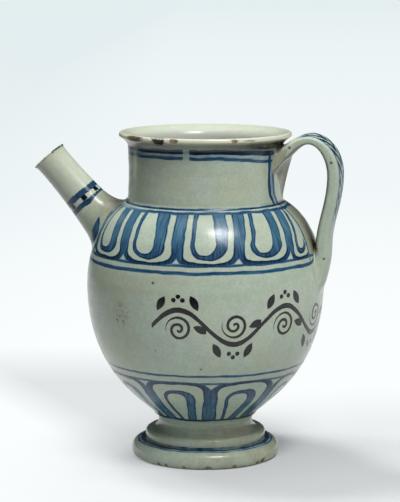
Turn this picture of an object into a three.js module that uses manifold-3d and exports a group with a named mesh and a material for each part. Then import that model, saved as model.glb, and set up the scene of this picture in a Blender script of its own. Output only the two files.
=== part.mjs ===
// A spouted pharmacy jug in tin-glazed earthenware. Millimetres, +Z up, standing on z = 0.
// The thrown belly, neck and foot share one upright axis. The spout leaves the shoulder towards -X and
// the strap handle stands towards +X. The lutes are the coils of soft clay that bond the pieces.

import * as THREE from "three";
import { mergeVertices } from "three/addons/utils/BufferGeometryUtils.js";
import Module from "manifold-3d";

const wasm = await Module();
wasm.setup();

// Fineness of the round surfaces
const TURN_STEPS = 48;
const TUBE_STEPS = 24;
const CURVE_STEPS = 4;
const LONG_CURVE_STEPS = 9;
const STRAP_SIDES = 16;
const STRAP_STEPS = 32;
const COLLAR_STEPS = 6;

// Corners that lie closer than this are one corner
const SAME_CORNER = 1e-4;

// Clearance between two pieces where one is shaped to the other
const LUTE_GAP = 0.3;

// Foot: a hollow pedestal with a rounded disc, a groove and a beaded tier under a hollowed neck
const FOOT_HEIGHT = 29;
const FOOT_DISC_RADIUS = 50.2;
const FOOT_DISC_EDGE_HEIGHT = 5;
const FOOT_STAND_INSET = 3.2;
const FOOT_STAND_WIDTH = 6;
const FOOT_GROOVE_HEIGHT = 11.4;
const FOOT_GROOVE_DEPTH = 1.2;
const FOOT_GROOVE_LEDGE = 1.8;
const FOOT_TIER_RADIUS = 41;
const FOOT_TIER_HEIGHT = 15.4;
const FOOT_TIER_TOP_HEIGHT = 18.4;
const FOOT_TIER_ROUNDING = 1.4;
const FOOT_NECK_HEIGHT = 25.5;
const FOOT_TOP_RADIUS = 32;
const FOOT_WALL = 7;

// Belly: a swelling ball, drawn as two curves that meet upright at the widest ring
const BELLY_HEIGHT = 144;
const BELLY_RADIUS = 80;
const BELLY_WIDEST_HEIGHT = 88.4;
const BELLY_BASE_OVERHANG = 2.5;
const BELLY_RISE_ANGLE = THREE.MathUtils.degToRad(62);
const BELLY_RISE_PULL = 9;
const BELLY_LOWER_PULL = 62.7;
const BELLY_UPPER_PULL = 12;
const SHOULDER_LEDGE = 1.4;
const SHOULDER_FALL_ANGLE = THREE.MathUtils.degToRad(30);
const SHOULDER_PULL = 26;
const BELLY_WALL = 5.5;
const BELLY_FLOOR = 7;

// Neck: a slightly waisted collar with an everted lip
const NECK_HEIGHT = 47;
const NECK_RADIUS = 51.5;
const NECK_BASE_FLARE = 1.1;
const NECK_TOP_FLARE = 0.5;
const NECK_WAIST_HEIGHT = 22;
const NECK_WALL = 5;
const LIP_OVERHANG = 6.5;
const LIP_EDGE_DROP = 2.6;
const LIP_UNDERSIDE_DROP = 6.4;
const LIP_CORNER = 3;
const LIP_CREST_WIDTH = 2;
const LIP_THROAT_DROP = 9;

// Spout: a straight tube with a slight waist and a flared mouth
const SPOUT_ROOT_DROP = 15.3;
const SPOUT_RISE_ANGLE = THREE.MathUtils.degToRad(48.6);
const SPOUT_LENGTH = 58.5;
const SPOUT_MOUTH_RADIUS = 12.4;
const SPOUT_WAIST_RADIUS = 11.35;
const SPOUT_WAIST_DROP = 8.5;
const SPOUT_ROOT_RADIUS = 15;
const SPOUT_WALL = 3.2;
const SPOUT_LIP_WALL = 2.4;
const SPOUT_SINK = 16;

// Handle: a pulled strap that leaves the neck under the lip, arches level with the rim and drops
// on the shoulder, where its tail thins out down the belly
const HANDLE_WIDTH = 31;
const HANDLE_THICKNESS = 9.6;
const HANDLE_CROWN_THICKNESS = 6.2;
const HANDLE_CROWN_RUN = 16;
const HANDLE_ROOT_WIDENING = 2;
const HANDLE_ROOT_RUN = 20;
const HANDLE_EDGE_POWER = 4;
const HANDLE_NECK_DROP = 23.3;
const HANDLE_NECK_SINK = 6.2;
const HANDLE_LEAVE_ANGLE = THREE.MathUtils.degToRad(52);
const HANDLE_LEAVE_PULL = 12.5;
const HANDLE_CROWN_REACH = 19;
const HANDLE_CROWN_DROP = 3.8;
const HANDLE_CROWN_PULL = 7;
const HANDLE_ARCH_PULL = 8.5;
const HANDLE_GRIP_REACH = 36.1;
const HANDLE_GRIP_DROP = 28;
const HANDLE_GRIP_UPPER_PULL = 14;
const HANDLE_GRIP_LOWER_PULL = 18;
const HANDLE_LANDING_DROP = 28;
const HANDLE_LANDING_STANDOFF = 4.9;
const HANDLE_LANDING_PULL = 15;
const HANDLE_END_DROP = 68;
const HANDLE_END_SINK = 8;
const HANDLE_END_LEAN = THREE.MathUtils.degToRad(17);
const HANDLE_END_PULL = 15;

// Lutes: the least thickness of the clay, and how far each spreads on the pieces that it bonds
const LUTE_EDGE = 0.9;
const NECK_LUTE_RISE = 3.6;
const NECK_LUTE_SPREAD = 2.2;
const FOOT_LUTE_DROP = 3.4;
const SPOUT_LUTE_RISE = 14;
const SPOUT_LUTE_SPREAD = 6;
const SPOUT_LUTE_HOLLOW = 2.4;
const SPOUT_LUTE_SINK = 12;
const HANDLE_NECK_LUTE_LENGTH = 20.5;
const HANDLE_SHOULDER_LUTE_LENGTH = 49;
const HANDLE_LUTE_SPREAD = 2;
const HANDLE_LUTE_HOLLOW = 2;
const TONGUE_ROUNDING = 20;
const TONGUE_RISE = 8.5;
const TONGUE_TOP_PROUD = 7;
const TONGUE_END_PROUD = 1.7;

// Heights of the joints above the table, and the radii that two pieces share
const BELLY_BASE_Z = FOOT_HEIGHT;
const BELLY_TOP_Z = BELLY_BASE_Z + BELLY_HEIGHT;
const RIM_Z = BELLY_TOP_Z + NECK_HEIGHT;
const BELLY_BASE_RADIUS = FOOT_TOP_RADIUS + BELLY_BASE_OVERHANG;
const NECK_BASE_RADIUS = NECK_RADIUS + NECK_BASE_FLARE;
const SHOULDER_TOP_RADIUS = NECK_BASE_RADIUS + SHOULDER_LEDGE;
const THROAT_RADIUS = NECK_RADIUS - NECK_WALL;
const FOOT_STAND_RADIUS = FOOT_DISC_RADIUS - FOOT_STAND_INSET;

const point = (radius, height) => new THREE.Vector2(radius, height);

// Solids and joins

// A closed mesh as a solid that can be joined and cut.
function solidOf(geometry) {
  const bare = geometry.clone();
  bare.deleteAttribute("normal");
  bare.deleteAttribute("uv");
  const merged = mergeVertices(bare, SAME_CORNER);
  return new wasm.Manifold(
    new wasm.Mesh({
      numProp: 3,
      vertProperties: merged.attributes.position.array,
      triVerts: Uint32Array.from(merged.index.array),
    }),
  );
}

// The geometry of a solid that was joined or cut.
function geometryOf(solid) {
  const { vertProperties, triVerts } = solid.getMesh();
  const geometry = new THREE.BufferGeometry();
  geometry.setAttribute("position", new THREE.BufferAttribute(vertProperties, 3));
  geometry.setIndex(new THREE.BufferAttribute(triVerts, 1));
  geometry.computeVertexNormals();
  return geometry;
}

// A shape turned on the upright axis. Its outline of (radius, height) runs up outside and down inside.
function turned(outline, steps = TURN_STEPS) {
  return new THREE.LatheGeometry(outline, steps).rotateX(Math.PI / 2);
}

// An outline that runs upwards, moved outwards square to itself.
function movedOut(outline, distance) {
  return outline.map((here, i) => {
    const before = outline[Math.max(i - 1, 0)];
    const after = outline[Math.min(i + 1, outline.length - 1)];
    const along = after.clone().sub(before).normalize();
    return point(here.x + along.y * distance, here.y - along.x * distance);
  });
}

// A full turned solid under an outline that runs upwards, used to trim what is bonded to that piece.
function core(outline) {
  const bottom = point(0, outline[0].y);
  const top = point(0, outline.at(-1).y);
  return solidOf(turned([bottom, ...outline, top]));
}

// A closed skin through rings of equal counts of points, with flat ends.
function loft(rings) {
  const sides = rings[0].length;
  const corners = rings.flat();
  const firstMiddle = corners.length;
  const ends = [rings[0], rings.at(-1)];
  for (const ring of ends) {
    const middle = new THREE.Vector3();
    ring.forEach((corner) => middle.addScaledVector(corner, 1 / sides));
    corners.push(middle);
  }
  const faces = [];
  for (let side = 0; side < sides; side++) {
    const next = (side + 1) % sides;
    for (let ring = 0; ring < rings.length - 1; ring++) {
      const low = ring * sides;
      const high = low + sides;
      faces.push(low + side, low + next, high + next);
      faces.push(low + side, high + next, high + side);
    }
    const last = (rings.length - 1) * sides;
    faces.push(firstMiddle, next, side);
    faces.push(firstMiddle + 1, last + side, last + next);
  }
  const geometry = new THREE.BufferGeometry().setFromPoints(corners);
  geometry.setIndex(faces);
  geometry.computeVertexNormals();
  return geometry;
}

// Outlines of the thrown pieces, each running upwards on the outside

function footOutline() {
  const path = new THREE.Path();
  path.moveTo(FOOT_STAND_RADIUS, 0);
  path.quadraticCurveTo(FOOT_DISC_RADIUS, 0, FOOT_DISC_RADIUS, FOOT_DISC_EDGE_HEIGHT);
  const groove = FOOT_TIER_RADIUS - FOOT_GROOVE_DEPTH;
  const ledge = groove + FOOT_GROOVE_LEDGE;
  path.quadraticCurveTo(FOOT_DISC_RADIUS, FOOT_GROOVE_HEIGHT, ledge, FOOT_GROOVE_HEIGHT);
  path.lineTo(groove, FOOT_GROOVE_HEIGHT);
  path.quadraticCurveTo(FOOT_TIER_RADIUS, FOOT_GROOVE_HEIGHT, FOOT_TIER_RADIUS, FOOT_TIER_HEIGHT);
  const shelf = FOOT_TIER_RADIUS - FOOT_TIER_ROUNDING;
  path.quadraticCurveTo(FOOT_TIER_RADIUS, FOOT_TIER_TOP_HEIGHT, shelf, FOOT_TIER_TOP_HEIGHT);
  path.quadraticCurveTo(FOOT_TOP_RADIUS, FOOT_TIER_TOP_HEIGHT, FOOT_TOP_RADIUS, FOOT_NECK_HEIGHT);
  path.lineTo(FOOT_TOP_RADIUS, FOOT_HEIGHT);
  return path.getPoints(CURVE_STEPS);
}

function bellyOutline() {
  const base = point(BELLY_BASE_RADIUS, BELLY_BASE_Z);
  const widestZ = BELLY_BASE_Z + BELLY_WIDEST_HEIGHT;
  const widest = point(BELLY_RADIUS, widestZ);
  const top = point(SHOULDER_TOP_RADIUS, BELLY_TOP_Z);
  const rise = point(Math.cos(BELLY_RISE_ANGLE), Math.sin(BELLY_RISE_ANGLE));
  const fall = point(Math.cos(SHOULDER_FALL_ANGLE), -Math.sin(SHOULDER_FALL_ANGLE));
  const lower = new THREE.CubicBezierCurve(
    base,
    base.clone().addScaledVector(rise, BELLY_RISE_PULL),
    point(BELLY_RADIUS, widestZ - BELLY_LOWER_PULL),
    widest,
  );
  const upper = new THREE.CubicBezierCurve(
    widest,
    point(BELLY_RADIUS, widestZ + BELLY_UPPER_PULL),
    top.clone().addScaledVector(fall, SHOULDER_PULL),
    top,
  );
  const below = lower.getSpacedPoints(LONG_CURVE_STEPS);
  const above = upper.getSpacedPoints(LONG_CURVE_STEPS);
  return [...below, ...above.slice(1)];
}

function neckOutline() {
  const waistZ = BELLY_TOP_Z + NECK_WAIST_HEIGHT;
  const underLipZ = RIM_Z - LIP_UNDERSIDE_DROP;
  const edgeZ = RIM_Z - LIP_EDGE_DROP;
  const top = NECK_RADIUS + NECK_TOP_FLARE;
  const lip = NECK_RADIUS + LIP_OVERHANG;
  const path = new THREE.Path();
  path.moveTo(NECK_BASE_RADIUS, BELLY_TOP_Z);
  path.quadraticCurveTo(NECK_RADIUS, (BELLY_TOP_Z + waistZ) / 2, NECK_RADIUS, waistZ);
  path.lineTo(top, underLipZ - LIP_CORNER);
  path.quadraticCurveTo(top, underLipZ, lip, edgeZ);
  path.quadraticCurveTo(lip, RIM_Z, lip - LIP_CREST_WIDTH, RIM_Z);
  return path.getPoints(CURVE_STEPS);
}

// The belly's outer radius at a height above the table, and its outward direction there.
function bellyAt(z) {
  const outline = bellyOutline();
  const above = outline.findIndex((corner) => corner.y >= z);
  const low = outline[above - 1];
  const high = outline[above];
  const radius = THREE.MathUtils.mapLinear(z, low.y, high.y, low.x, high.x);
  const along = high.clone().sub(low).normalize();
  return { radius, normal: new THREE.Vector2(along.y, -along.x) };
}

// Spout, turned on its own axis and then laid against the shoulder

const spoutRootZ = BELLY_TOP_Z - SPOUT_ROOT_DROP;
const spoutRoot = bellyAt(spoutRootZ);
const spoutPlace = new THREE.Matrix4()
  .makeTranslation(-spoutRoot.radius, 0, spoutRootZ)
  .multiply(new THREE.Matrix4().makeRotationY(SPOUT_RISE_ANGLE - Math.PI / 2));

function spoutOutline() {
  const waist = SPOUT_LENGTH - SPOUT_WAIST_DROP;
  const path = new THREE.Path();
  path.moveTo(SPOUT_ROOT_RADIUS, -SPOUT_SINK);
  path.lineTo(SPOUT_ROOT_RADIUS, 0);
  path.quadraticCurveTo(SPOUT_WAIST_RADIUS, waist / 2, SPOUT_WAIST_RADIUS, waist);
  path.quadraticCurveTo(SPOUT_WAIST_RADIUS, SPOUT_LENGTH, SPOUT_MOUTH_RADIUS, SPOUT_LENGTH);
  return path.getPoints(CURVE_STEPS);
}

// The spout's bore, from past the mouth to inside the belly.
function spoutBore() {
  const outline = movedOut(spoutOutline(), -SPOUT_WALL);
  outline.at(-1).set(SPOUT_MOUTH_RADIUS - SPOUT_LIP_WALL, SPOUT_LENGTH);
  const end = outline.at(-1);
  outline.push(point(end.x, end.y + SPOUT_LIP_WALL));
  outline[0].y -= SPOUT_WALL;
  const closed = [point(0, outline[0].y), ...outline, point(0, outline.at(-1).y)];
  return solidOf(turned(closed, TUBE_STEPS).applyMatrix4(spoutPlace));
}

// The spout without its bore, grown by a clearance.
function spoutCore(clearance) {
  const outline = movedOut(spoutOutline(), clearance);
  const closed = [point(0, outline[0].y), ...outline, point(0, outline.at(-1).y)];
  return solidOf(turned(closed, TUBE_STEPS).applyMatrix4(spoutPlace));
}

// Handle, lofted along its middle line in the XZ plane

const onLine = (x, z) => new THREE.Vector3(x, 0, z);

// From inside the neck up to the crown, out to the grip, down to the landing and into the shoulder.
function handleMiddleLine() {
  const start = onLine(NECK_RADIUS - HANDLE_NECK_SINK, RIM_Z - HANDLE_NECK_DROP);
  const leave = onLine(Math.cos(HANDLE_LEAVE_ANGLE), Math.sin(HANDLE_LEAVE_ANGLE));
  const crownX = NECK_RADIUS + HANDLE_CROWN_REACH;
  const crownZ = RIM_Z - HANDLE_CROWN_DROP;
  const gripX = NECK_RADIUS + HANDLE_GRIP_REACH;
  const gripZ = RIM_Z - HANDLE_GRIP_DROP;
  const landingZ = BELLY_TOP_Z - HANDLE_LANDING_DROP;
  const landingX = bellyAt(landingZ).radius + HANDLE_LANDING_STANDOFF;
  const endZ = BELLY_TOP_Z - HANDLE_END_DROP;
  const end = onLine(bellyAt(endZ).radius - HANDLE_END_SINK, endZ);
  const leanBack = onLine(Math.sin(HANDLE_END_LEAN), Math.cos(HANDLE_END_LEAN));
  const crown = onLine(crownX, crownZ);
  const grip = onLine(gripX, gripZ);
  const landing = onLine(landingX, landingZ);
  const line = new THREE.CurvePath();
  line.add(
    new THREE.CubicBezierCurve3(
      start,
      start.clone().addScaledVector(leave, HANDLE_LEAVE_PULL),
      onLine(crownX - HANDLE_CROWN_PULL, crownZ),
      crown,
    ),
  );
  line.add(
    new THREE.CubicBezierCurve3(
      crown,
      onLine(crownX + HANDLE_ARCH_PULL, crownZ),
      onLine(gripX, gripZ + HANDLE_GRIP_UPPER_PULL),
      grip,
    ),
  );
  line.add(
    new THREE.CubicBezierCurve3(
      grip,
      onLine(gripX, gripZ - HANDLE_GRIP_LOWER_PULL),
      onLine(landingX, landingZ + HANDLE_LANDING_PULL),
      landing,
    ),
  );
  line.add(
    new THREE.CubicBezierCurve3(
      landing,
      onLine(landingX, landingZ - HANDLE_END_PULL),
      end.clone().addScaledVector(leanBack, HANDLE_END_PULL),
      end,
    ),
  );
  return line;
}

const handleLine = handleMiddleLine();
const strapLength = handleLine.getLength();
const crownLength = handleLine.curves[0].getLength();

// One section of the strap at a share of its length, grown all round: a flat oval with full edges.
function strapSection(share, grown) {
  const middle = handleLine.getPoint(share);
  const along = handleLine.getTangent(share);
  const outwards = onLine(-along.z, along.x);
  const near = (place, run) => Math.exp(-Math.pow((share * strapLength - place) / run, 2));
  const rooting = near(0, HANDLE_ROOT_RUN) + near(strapLength, HANDLE_ROOT_RUN);
  const width = HANDLE_WIDTH + HANDLE_ROOT_WIDENING * rooting;
  const arching = near(crownLength, HANDLE_CROWN_RUN);
  const thickness = THREE.MathUtils.lerp(HANDLE_THICKNESS, HANDLE_CROWN_THICKNESS, arching);
  const section = [];
  for (let side = 0; side < STRAP_SIDES; side++) {
    const turn = (2 * Math.PI * side) / STRAP_SIDES;
    const rounded = (value) => Math.sign(value) * Math.pow(Math.abs(value), 2 / HANDLE_EDGE_POWER);
    const corner = middle.clone();
    corner.y += (width / 2 + grown) * rounded(Math.cos(turn));
    corner.addScaledVector(outwards, (thickness / 2 + grown) * rounded(Math.sin(turn)));
    section.push(corner);
  }
  return section;
}

// The strap between two shares of its length; grown is its growth at a share of that stretch.
function strap(from, to, steps, grown) {
  const rings = [];
  for (let step = 0; step <= steps; step++) {
    const along = step / steps;
    rings.push(strapSection(THREE.MathUtils.lerp(from, to, along), grown(along)));
  }
  return solidOf(loft(rings));
}

// The sub-parts

const bellyCore = core(movedOut(bellyOutline(), LUTE_GAP));
const neckCore = core(movedOut(neckOutline(), LUTE_GAP));
const strapCore = strap(0, 1, STRAP_STEPS, () => LUTE_GAP);

function foot() {
  const outside = footOutline();
  const inside = [
    point(FOOT_TOP_RADIUS - FOOT_WALL, FOOT_HEIGHT),
    point(FOOT_TOP_RADIUS - FOOT_WALL, FOOT_TIER_TOP_HEIGHT),
    point(FOOT_STAND_RADIUS - FOOT_STAND_WIDTH, 0),
  ];
  return turned([...outside, ...inside, outside[0]]);
}

function belly() {
  const outside = bellyOutline();
  const floorZ = BELLY_BASE_Z + BELLY_FLOOR;
  const floor = bellyAt(floorZ);
  const ceilingZ = BELLY_TOP_Z - BELLY_WALL;
  const inside = movedOut(outside, -BELLY_WALL)
    .filter((corner) => corner.y > floorZ && corner.y < ceilingZ && corner.x > THROAT_RADIUS)
    .reverse();
  const shell = [
    point(0, BELLY_BASE_Z),
    ...outside,
    point(THROAT_RADIUS, BELLY_TOP_Z),
    point(THROAT_RADIUS, ceilingZ),
    ...inside,
    point(floor.radius - BELLY_WALL / floor.normal.x, floorZ),
    point(0, floorZ),
  ];
  return geometryOf(solidOf(turned(shell)).subtract(spoutBore()));
}

function neck() {
  const outside = neckOutline();
  const inner = new THREE.Path();
  const crest = outside.at(-1);
  inner.moveTo(crest.x, crest.y);
  inner.quadraticCurveTo(THROAT_RADIUS, RIM_Z - LIP_EDGE_DROP, THROAT_RADIUS, RIM_Z - LIP_THROAT_DROP);
  inner.lineTo(THROAT_RADIUS, BELLY_TOP_Z);
  return turned([...outside, ...inner.getPoints(CURVE_STEPS).slice(1), outside[0]]);
}

function spout() {
  return geometryOf(spoutCore(0).subtract(bellyCore).subtract(spoutBore()));
}

function handle() {
  const whole = strap(0, 1, STRAP_STEPS, () => 0);
  return geometryOf(whole.subtract(neckCore).subtract(bellyCore));
}

// The coil in the corner above the shoulder, against the foot of the neck.
function neckLute() {
  const inner = NECK_BASE_RADIUS + LUTE_GAP;
  const bottom = BELLY_TOP_Z + LUTE_GAP;
  const path = new THREE.Path();
  path.moveTo(inner, bottom);
  path.lineTo(inner + NECK_LUTE_SPREAD, bottom);
  path.quadraticCurveTo(inner + LUTE_EDGE, bottom + LUTE_EDGE, inner + LUTE_EDGE, bottom + NECK_LUTE_RISE);
  path.lineTo(inner, bottom + NECK_LUTE_RISE);
  path.closePath();
  return turned(path.getPoints(CURVE_STEPS));
}

// The coil in the corner under the belly, round the top of the foot.
function footLute() {
  const inner = FOOT_TOP_RADIUS + LUTE_GAP;
  const top = BELLY_BASE_Z - LUTE_GAP;
  const path = new THREE.Path();
  path.moveTo(inner, top - FOOT_LUTE_DROP);
  path.lineTo(inner + LUTE_EDGE, top - FOOT_LUTE_DROP);
  path.quadraticCurveTo(inner + LUTE_EDGE, top - LUTE_EDGE, BELLY_BASE_RADIUS, top);
  path.lineTo(inner, top);
  path.closePath();
  return turned(path.getPoints(CURVE_STEPS));
}

// The spout's outer radius at a distance along its axis from the shoulder.
function spoutRadiusAt(distance) {
  const outline = spoutOutline();
  const above = Math.max(1, outline.findIndex((corner) => corner.y >= distance));
  const low = outline[above - 1];
  const high = outline[above];
  return THREE.MathUtils.mapLinear(distance, low.y, high.y, low.x, high.x);
}

// The collar round the spout's root, flaring from the tube to the slope of the shoulder.
function spoutLute() {
  const root = onLine(-spoutRoot.radius, spoutRootZ);
  const tube = onLine(-Math.cos(SPOUT_RISE_ANGLE), Math.sin(SPOUT_RISE_ANGLE));
  const shoulder = onLine(-spoutRoot.normal.x, spoutRoot.normal.y);
  const rings = [];
  for (let step = 0; step <= 2 * COLLAR_STEPS; step++) {
    const share = step / (2 * COLLAR_STEPS);
    const height = THREE.MathUtils.lerp(-SPOUT_LUTE_SINK, SPOUT_LUTE_RISE, share);
    const axis = shoulder.clone().lerp(tube, share).normalize();
    const middle = root.clone().addScaledVector(axis, height);
    const flare = SPOUT_LUTE_SPREAD * Math.pow(1 - share, SPOUT_LUTE_HOLLOW);
    const radius = spoutRadiusAt(height) + LUTE_GAP + LUTE_EDGE + flare;
    const across = onLine(axis.z, -axis.x);
    const ring = [];
    for (let side = 0; side < TUBE_STEPS; side++) {
      const turn = (2 * Math.PI * side) / TUBE_STEPS;
      const corner = middle.clone().addScaledVector(across, radius * Math.cos(turn));
      corner.y += radius * Math.sin(turn);
      ring.push(corner);
    }
    rings.push(ring);
  }
  const collar = solidOf(loft(rings));
  return geometryOf(collar.subtract(spoutCore(LUTE_GAP)).subtract(bellyCore).subtract(neckCore));
}

// The collar round one root of the strap, between two shares of its length; it flares towards the root.
function strapCollar(from, to, root) {
  const flare = (along) => {
    const fromRoot = root === from ? along : 1 - along;
    return LUTE_GAP + LUTE_EDGE + HANDLE_LUTE_SPREAD * Math.pow(1 - fromRoot, HANDLE_LUTE_HOLLOW);
  };
  return strap(from, to, COLLAR_STEPS, flare);
}

// The tongue that the thumb draws down the neck from under the strap: round in plan, thinner downwards.
function rootTongue() {
  const ends = [
    { height: BELLY_TOP_Z + NECK_LUTE_RISE + 2 * LUTE_GAP, proud: TONGUE_END_PROUD },
    { height: RIM_Z - HANDLE_NECK_DROP + TONGUE_RISE, proud: TONGUE_TOP_PROUD },
  ];
  const rings = ends.map(({ height, proud }) => {
    const middle = onLine(NECK_RADIUS + proud - TONGUE_ROUNDING, height);
    return Array.from({ length: TUBE_STEPS }, (_, side) => {
      const turn = (2 * Math.PI * side) / TUBE_STEPS;
      const around = new THREE.Vector3(Math.cos(turn), Math.sin(turn), 0);
      return middle.clone().addScaledVector(around, TONGUE_ROUNDING);
    });
  });
  return solidOf(loft(rings));
}

const strapLute = (clay) => geometryOf(clay.subtract(strapCore).subtract(neckCore).subtract(bellyCore));

const neckLuteEnd = HANDLE_NECK_LUTE_LENGTH / strapLength;
const shoulderLuteStart = 1 - HANDLE_SHOULDER_LUTE_LENGTH / strapLength;

// The parts in their glaze colours

const GLAZE = { roughness: 0.28, metalness: 0 };
const SUB_PARTS = [
  ["foot", foot(), 0xb4bfae],
  ["belly", belly(), 0xb9c4b4],
  ["neck", neck(), 0xbcc6b6],
  ["spout", spout(), 0xb2bba8],
  ["handle", handle(), 0xb6c0b0],
  ["neck_lute", neckLute(), 0x8fa0ac],
  ["foot_lute", footLute(), 0x8fa0ac],
  ["spout_lute", spoutLute(), 0xb0b6a2],
  ["handle_neck_lute", strapLute(strapCollar(0, neckLuteEnd, 0).add(rootTongue())), 0xb0b6a2],
  ["handle_shoulder_lute", strapLute(strapCollar(shoulderLuteStart, 1, 1)), 0xb0b6a2],
];

const jug = new THREE.Group();
for (const [name, geometry, color] of SUB_PARTS) {
  const mesh = new THREE.Mesh(geometry, new THREE.MeshStandardMaterial({ color, ...GLAZE }));
  mesh.name = name;
  jug.add(mesh);
}

// The spout reaches further out than the handle: the origin is under the middle of the whole.
const reach = new THREE.Box3().setFromObject(jug, true);
jug.position.x = -(reach.min.x + reach.max.x) / 2;

export default jug;
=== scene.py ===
"""Dress a spouted pharmacy jug in tin-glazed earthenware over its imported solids.

The thrown foot, belly and neck share one upright axis. The spout leaves the shoulder towards -X and the
strap handle stands towards +X. Sizes are millimetres in the classes and metres in Blender. Angles round
the jug are degrees from the handle, anticlockwise from above, so the photographed side is negative.
"""

import logging
import math
from dataclasses import dataclass, replace
from enum import Enum
from typing import Callable

import bmesh
import bpy
import numpy as np
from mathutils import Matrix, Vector


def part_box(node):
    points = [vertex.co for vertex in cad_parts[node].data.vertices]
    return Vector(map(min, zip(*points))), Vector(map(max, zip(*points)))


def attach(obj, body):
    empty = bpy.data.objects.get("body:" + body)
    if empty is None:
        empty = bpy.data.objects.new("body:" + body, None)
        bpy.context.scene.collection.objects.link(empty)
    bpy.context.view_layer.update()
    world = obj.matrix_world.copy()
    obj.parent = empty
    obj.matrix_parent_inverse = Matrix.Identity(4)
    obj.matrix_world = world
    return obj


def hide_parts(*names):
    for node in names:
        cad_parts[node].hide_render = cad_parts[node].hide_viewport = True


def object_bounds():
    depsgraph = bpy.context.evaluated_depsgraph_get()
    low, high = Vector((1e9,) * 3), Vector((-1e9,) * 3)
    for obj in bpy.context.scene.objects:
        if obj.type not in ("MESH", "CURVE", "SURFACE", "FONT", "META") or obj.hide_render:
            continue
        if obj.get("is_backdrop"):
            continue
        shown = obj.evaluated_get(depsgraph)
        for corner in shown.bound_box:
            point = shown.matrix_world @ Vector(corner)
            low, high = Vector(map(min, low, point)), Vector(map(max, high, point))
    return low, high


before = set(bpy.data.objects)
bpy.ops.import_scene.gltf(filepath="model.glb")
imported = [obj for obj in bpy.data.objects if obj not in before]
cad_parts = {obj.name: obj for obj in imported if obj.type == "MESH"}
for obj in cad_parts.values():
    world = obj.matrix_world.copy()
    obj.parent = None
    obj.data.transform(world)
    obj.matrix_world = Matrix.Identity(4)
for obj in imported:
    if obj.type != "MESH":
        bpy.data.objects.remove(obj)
CAD_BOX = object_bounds()

LOG = logging.getLogger("jug")
MM = 0.001
TIMES = "Math.MULTIPLY"
BODY = "root"
WELD = 1e-7

# How far a thrown wall strays from its true circle, and how its oval twists and its ridges climb, in mm.
OVAL = 0.16
OVAL_TWIST = 90.0
OVAL_START = 0.9
RIDGE = 0.04
RIDGE_PITCH = 9.5

Pair = tuple[float, float]
Triple = tuple[float, float, float]
Colour = tuple[float, float, float, float]
Points = np.ndarray
Marks = dict[str, np.ndarray]
Wall = Callable[[np.ndarray, np.ndarray], np.ndarray]
Path = Callable[[np.ndarray], Points]
Node = bpy.types.Node
Piece = bpy.types.Object
Fired = bpy.types.Material


class Slot(Enum):
    """The record's material slots."""

    GLAZE = "tin_glaze"
    LUTE = "lute_glaze"


class Growth(Enum):
    """Which way the rounded ends of a band's petals point."""

    DOWN = 1
    UP = -1


class Along(Enum):
    """Which way the bristles of a stroke run."""

    UPRIGHT = (0.75, 0.07, 0.0)
    ROUND = (0.07, 0.75, 0.0)


def linear(colour: str) -> Colour:
    """Turn an sRGB hex colour into linear light.

    Args:
        colour: the colour as "#RRGGBB".

    Returns:
        Red, green, blue and full alpha.
    """
    shares = [int(colour[i : i + 2], 16) / 255 for i in (1, 3, 5)]
    light = [s / 12.92 if s <= 0.04045 else ((s + 0.055) / 1.055) ** 2.4 for s in shares]
    return (light[0], light[1], light[2], 1.0)


def bezier(*corners: Pair, steps: int) -> Points:
    """Sample a Bezier curve of any degree.

    Args:
        *corners: its control points, (radius, height) or (x, z) in mm.
        steps: how many spans to cut it into.

    Returns:
        The points, from the first corner to the last, as an array (steps + 1, 2).
    """
    share = np.linspace(0, 1, steps + 1)[:, None]
    rows = [np.array(corner, float)[None, :] for corner in corners]
    while len(rows) > 1:
        rows = [low * (1 - share) + high * share for low, high in zip(rows[:-1], rows[1:])]
    return rows[0]


def joined(*stretches: Points) -> Points:
    """Join stretches of an outline.

    Args:
        *stretches: the stretches in order, each an array (points, 2).

    Returns:
        One outline, without points that lie on the one before.
    """
    line = np.vstack(stretches)
    apart = np.linalg.norm(np.diff(line, axis=0), axis=1) > 1e-6
    return line[np.concatenate([[True], apart])]


def moved_out(line: Points, distance: float) -> Points:
    """Move an outline square to itself.

    Args:
        line: an outline that runs upwards.
        distance: how far to move it outwards, in mm.

    Returns:
        The moved outline.
    """
    along = np.gradient(line, axis=0)
    along /= np.linalg.norm(along, axis=1)[:, None]
    return line + distance * np.stack([along[:, 1], -along[:, 0]], axis=1)


def smooth_step(value: np.ndarray, low: float, high: float) -> np.ndarray:
    """Ease from 0 at low to 1 at high."""
    share = np.clip((value - low) / (high - low), 0, 1)
    return share * share * (3 - 2 * share)


def hump(value: np.ndarray, place: float, run: float) -> np.ndarray:
    """Rise to 1 at a place and fall off over a run on both sides of it."""
    return np.exp(-(((value - place) / run) ** 2))


def hand_thrown(turn: np.ndarray, height: np.ndarray) -> np.ndarray:
    """Say how far a hand-thrown wall lies inside its true circle.

    Args:
        turn: angles round the jug in radians.
        height: heights above the table in mm.

    Returns:
        The distance inwards in mm: a slight oval, and finger ridges that climb in a spiral.
    """
    oval = OVAL * (1 + np.sin(2 * turn + OVAL_START + height / OVAL_TWIST))
    ridges = RIDGE * (1 + np.sin(2 * math.pi * height / RIDGE_PITCH + turn))
    return oval + ridges


def turn_of(points: Points) -> np.ndarray:
    """Return the angles of points round the jug's axis, in radians."""
    return np.arctan2(points[..., 1], points[..., 0])


def pushed_in(points: Points, depth: float) -> Points:
    """Push points towards the jug's axis.

    Args:
        points: the points in mm from the axis.
        depth: how far to push them, in mm.

    Returns:
        The pushed points.
    """
    radius = np.hypot(points[..., 0], points[..., 1])[..., None]
    return points - depth * points * (1, 1, 0) / radius


def snapped(points: Points, wall: Wall) -> Points:
    """Bring points onto a turned wall at their own heights.

    Args:
        points: the points in mm from the axis.
        wall: the wall's radius by angle and height.

    Returns:
        The points on the wall.
    """
    turn = turn_of(points)
    radius = wall(turn, points[..., 2])
    return np.stack([radius * np.cos(turn), radius * np.sin(turn), points[..., 2]], axis=-1)


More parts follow.
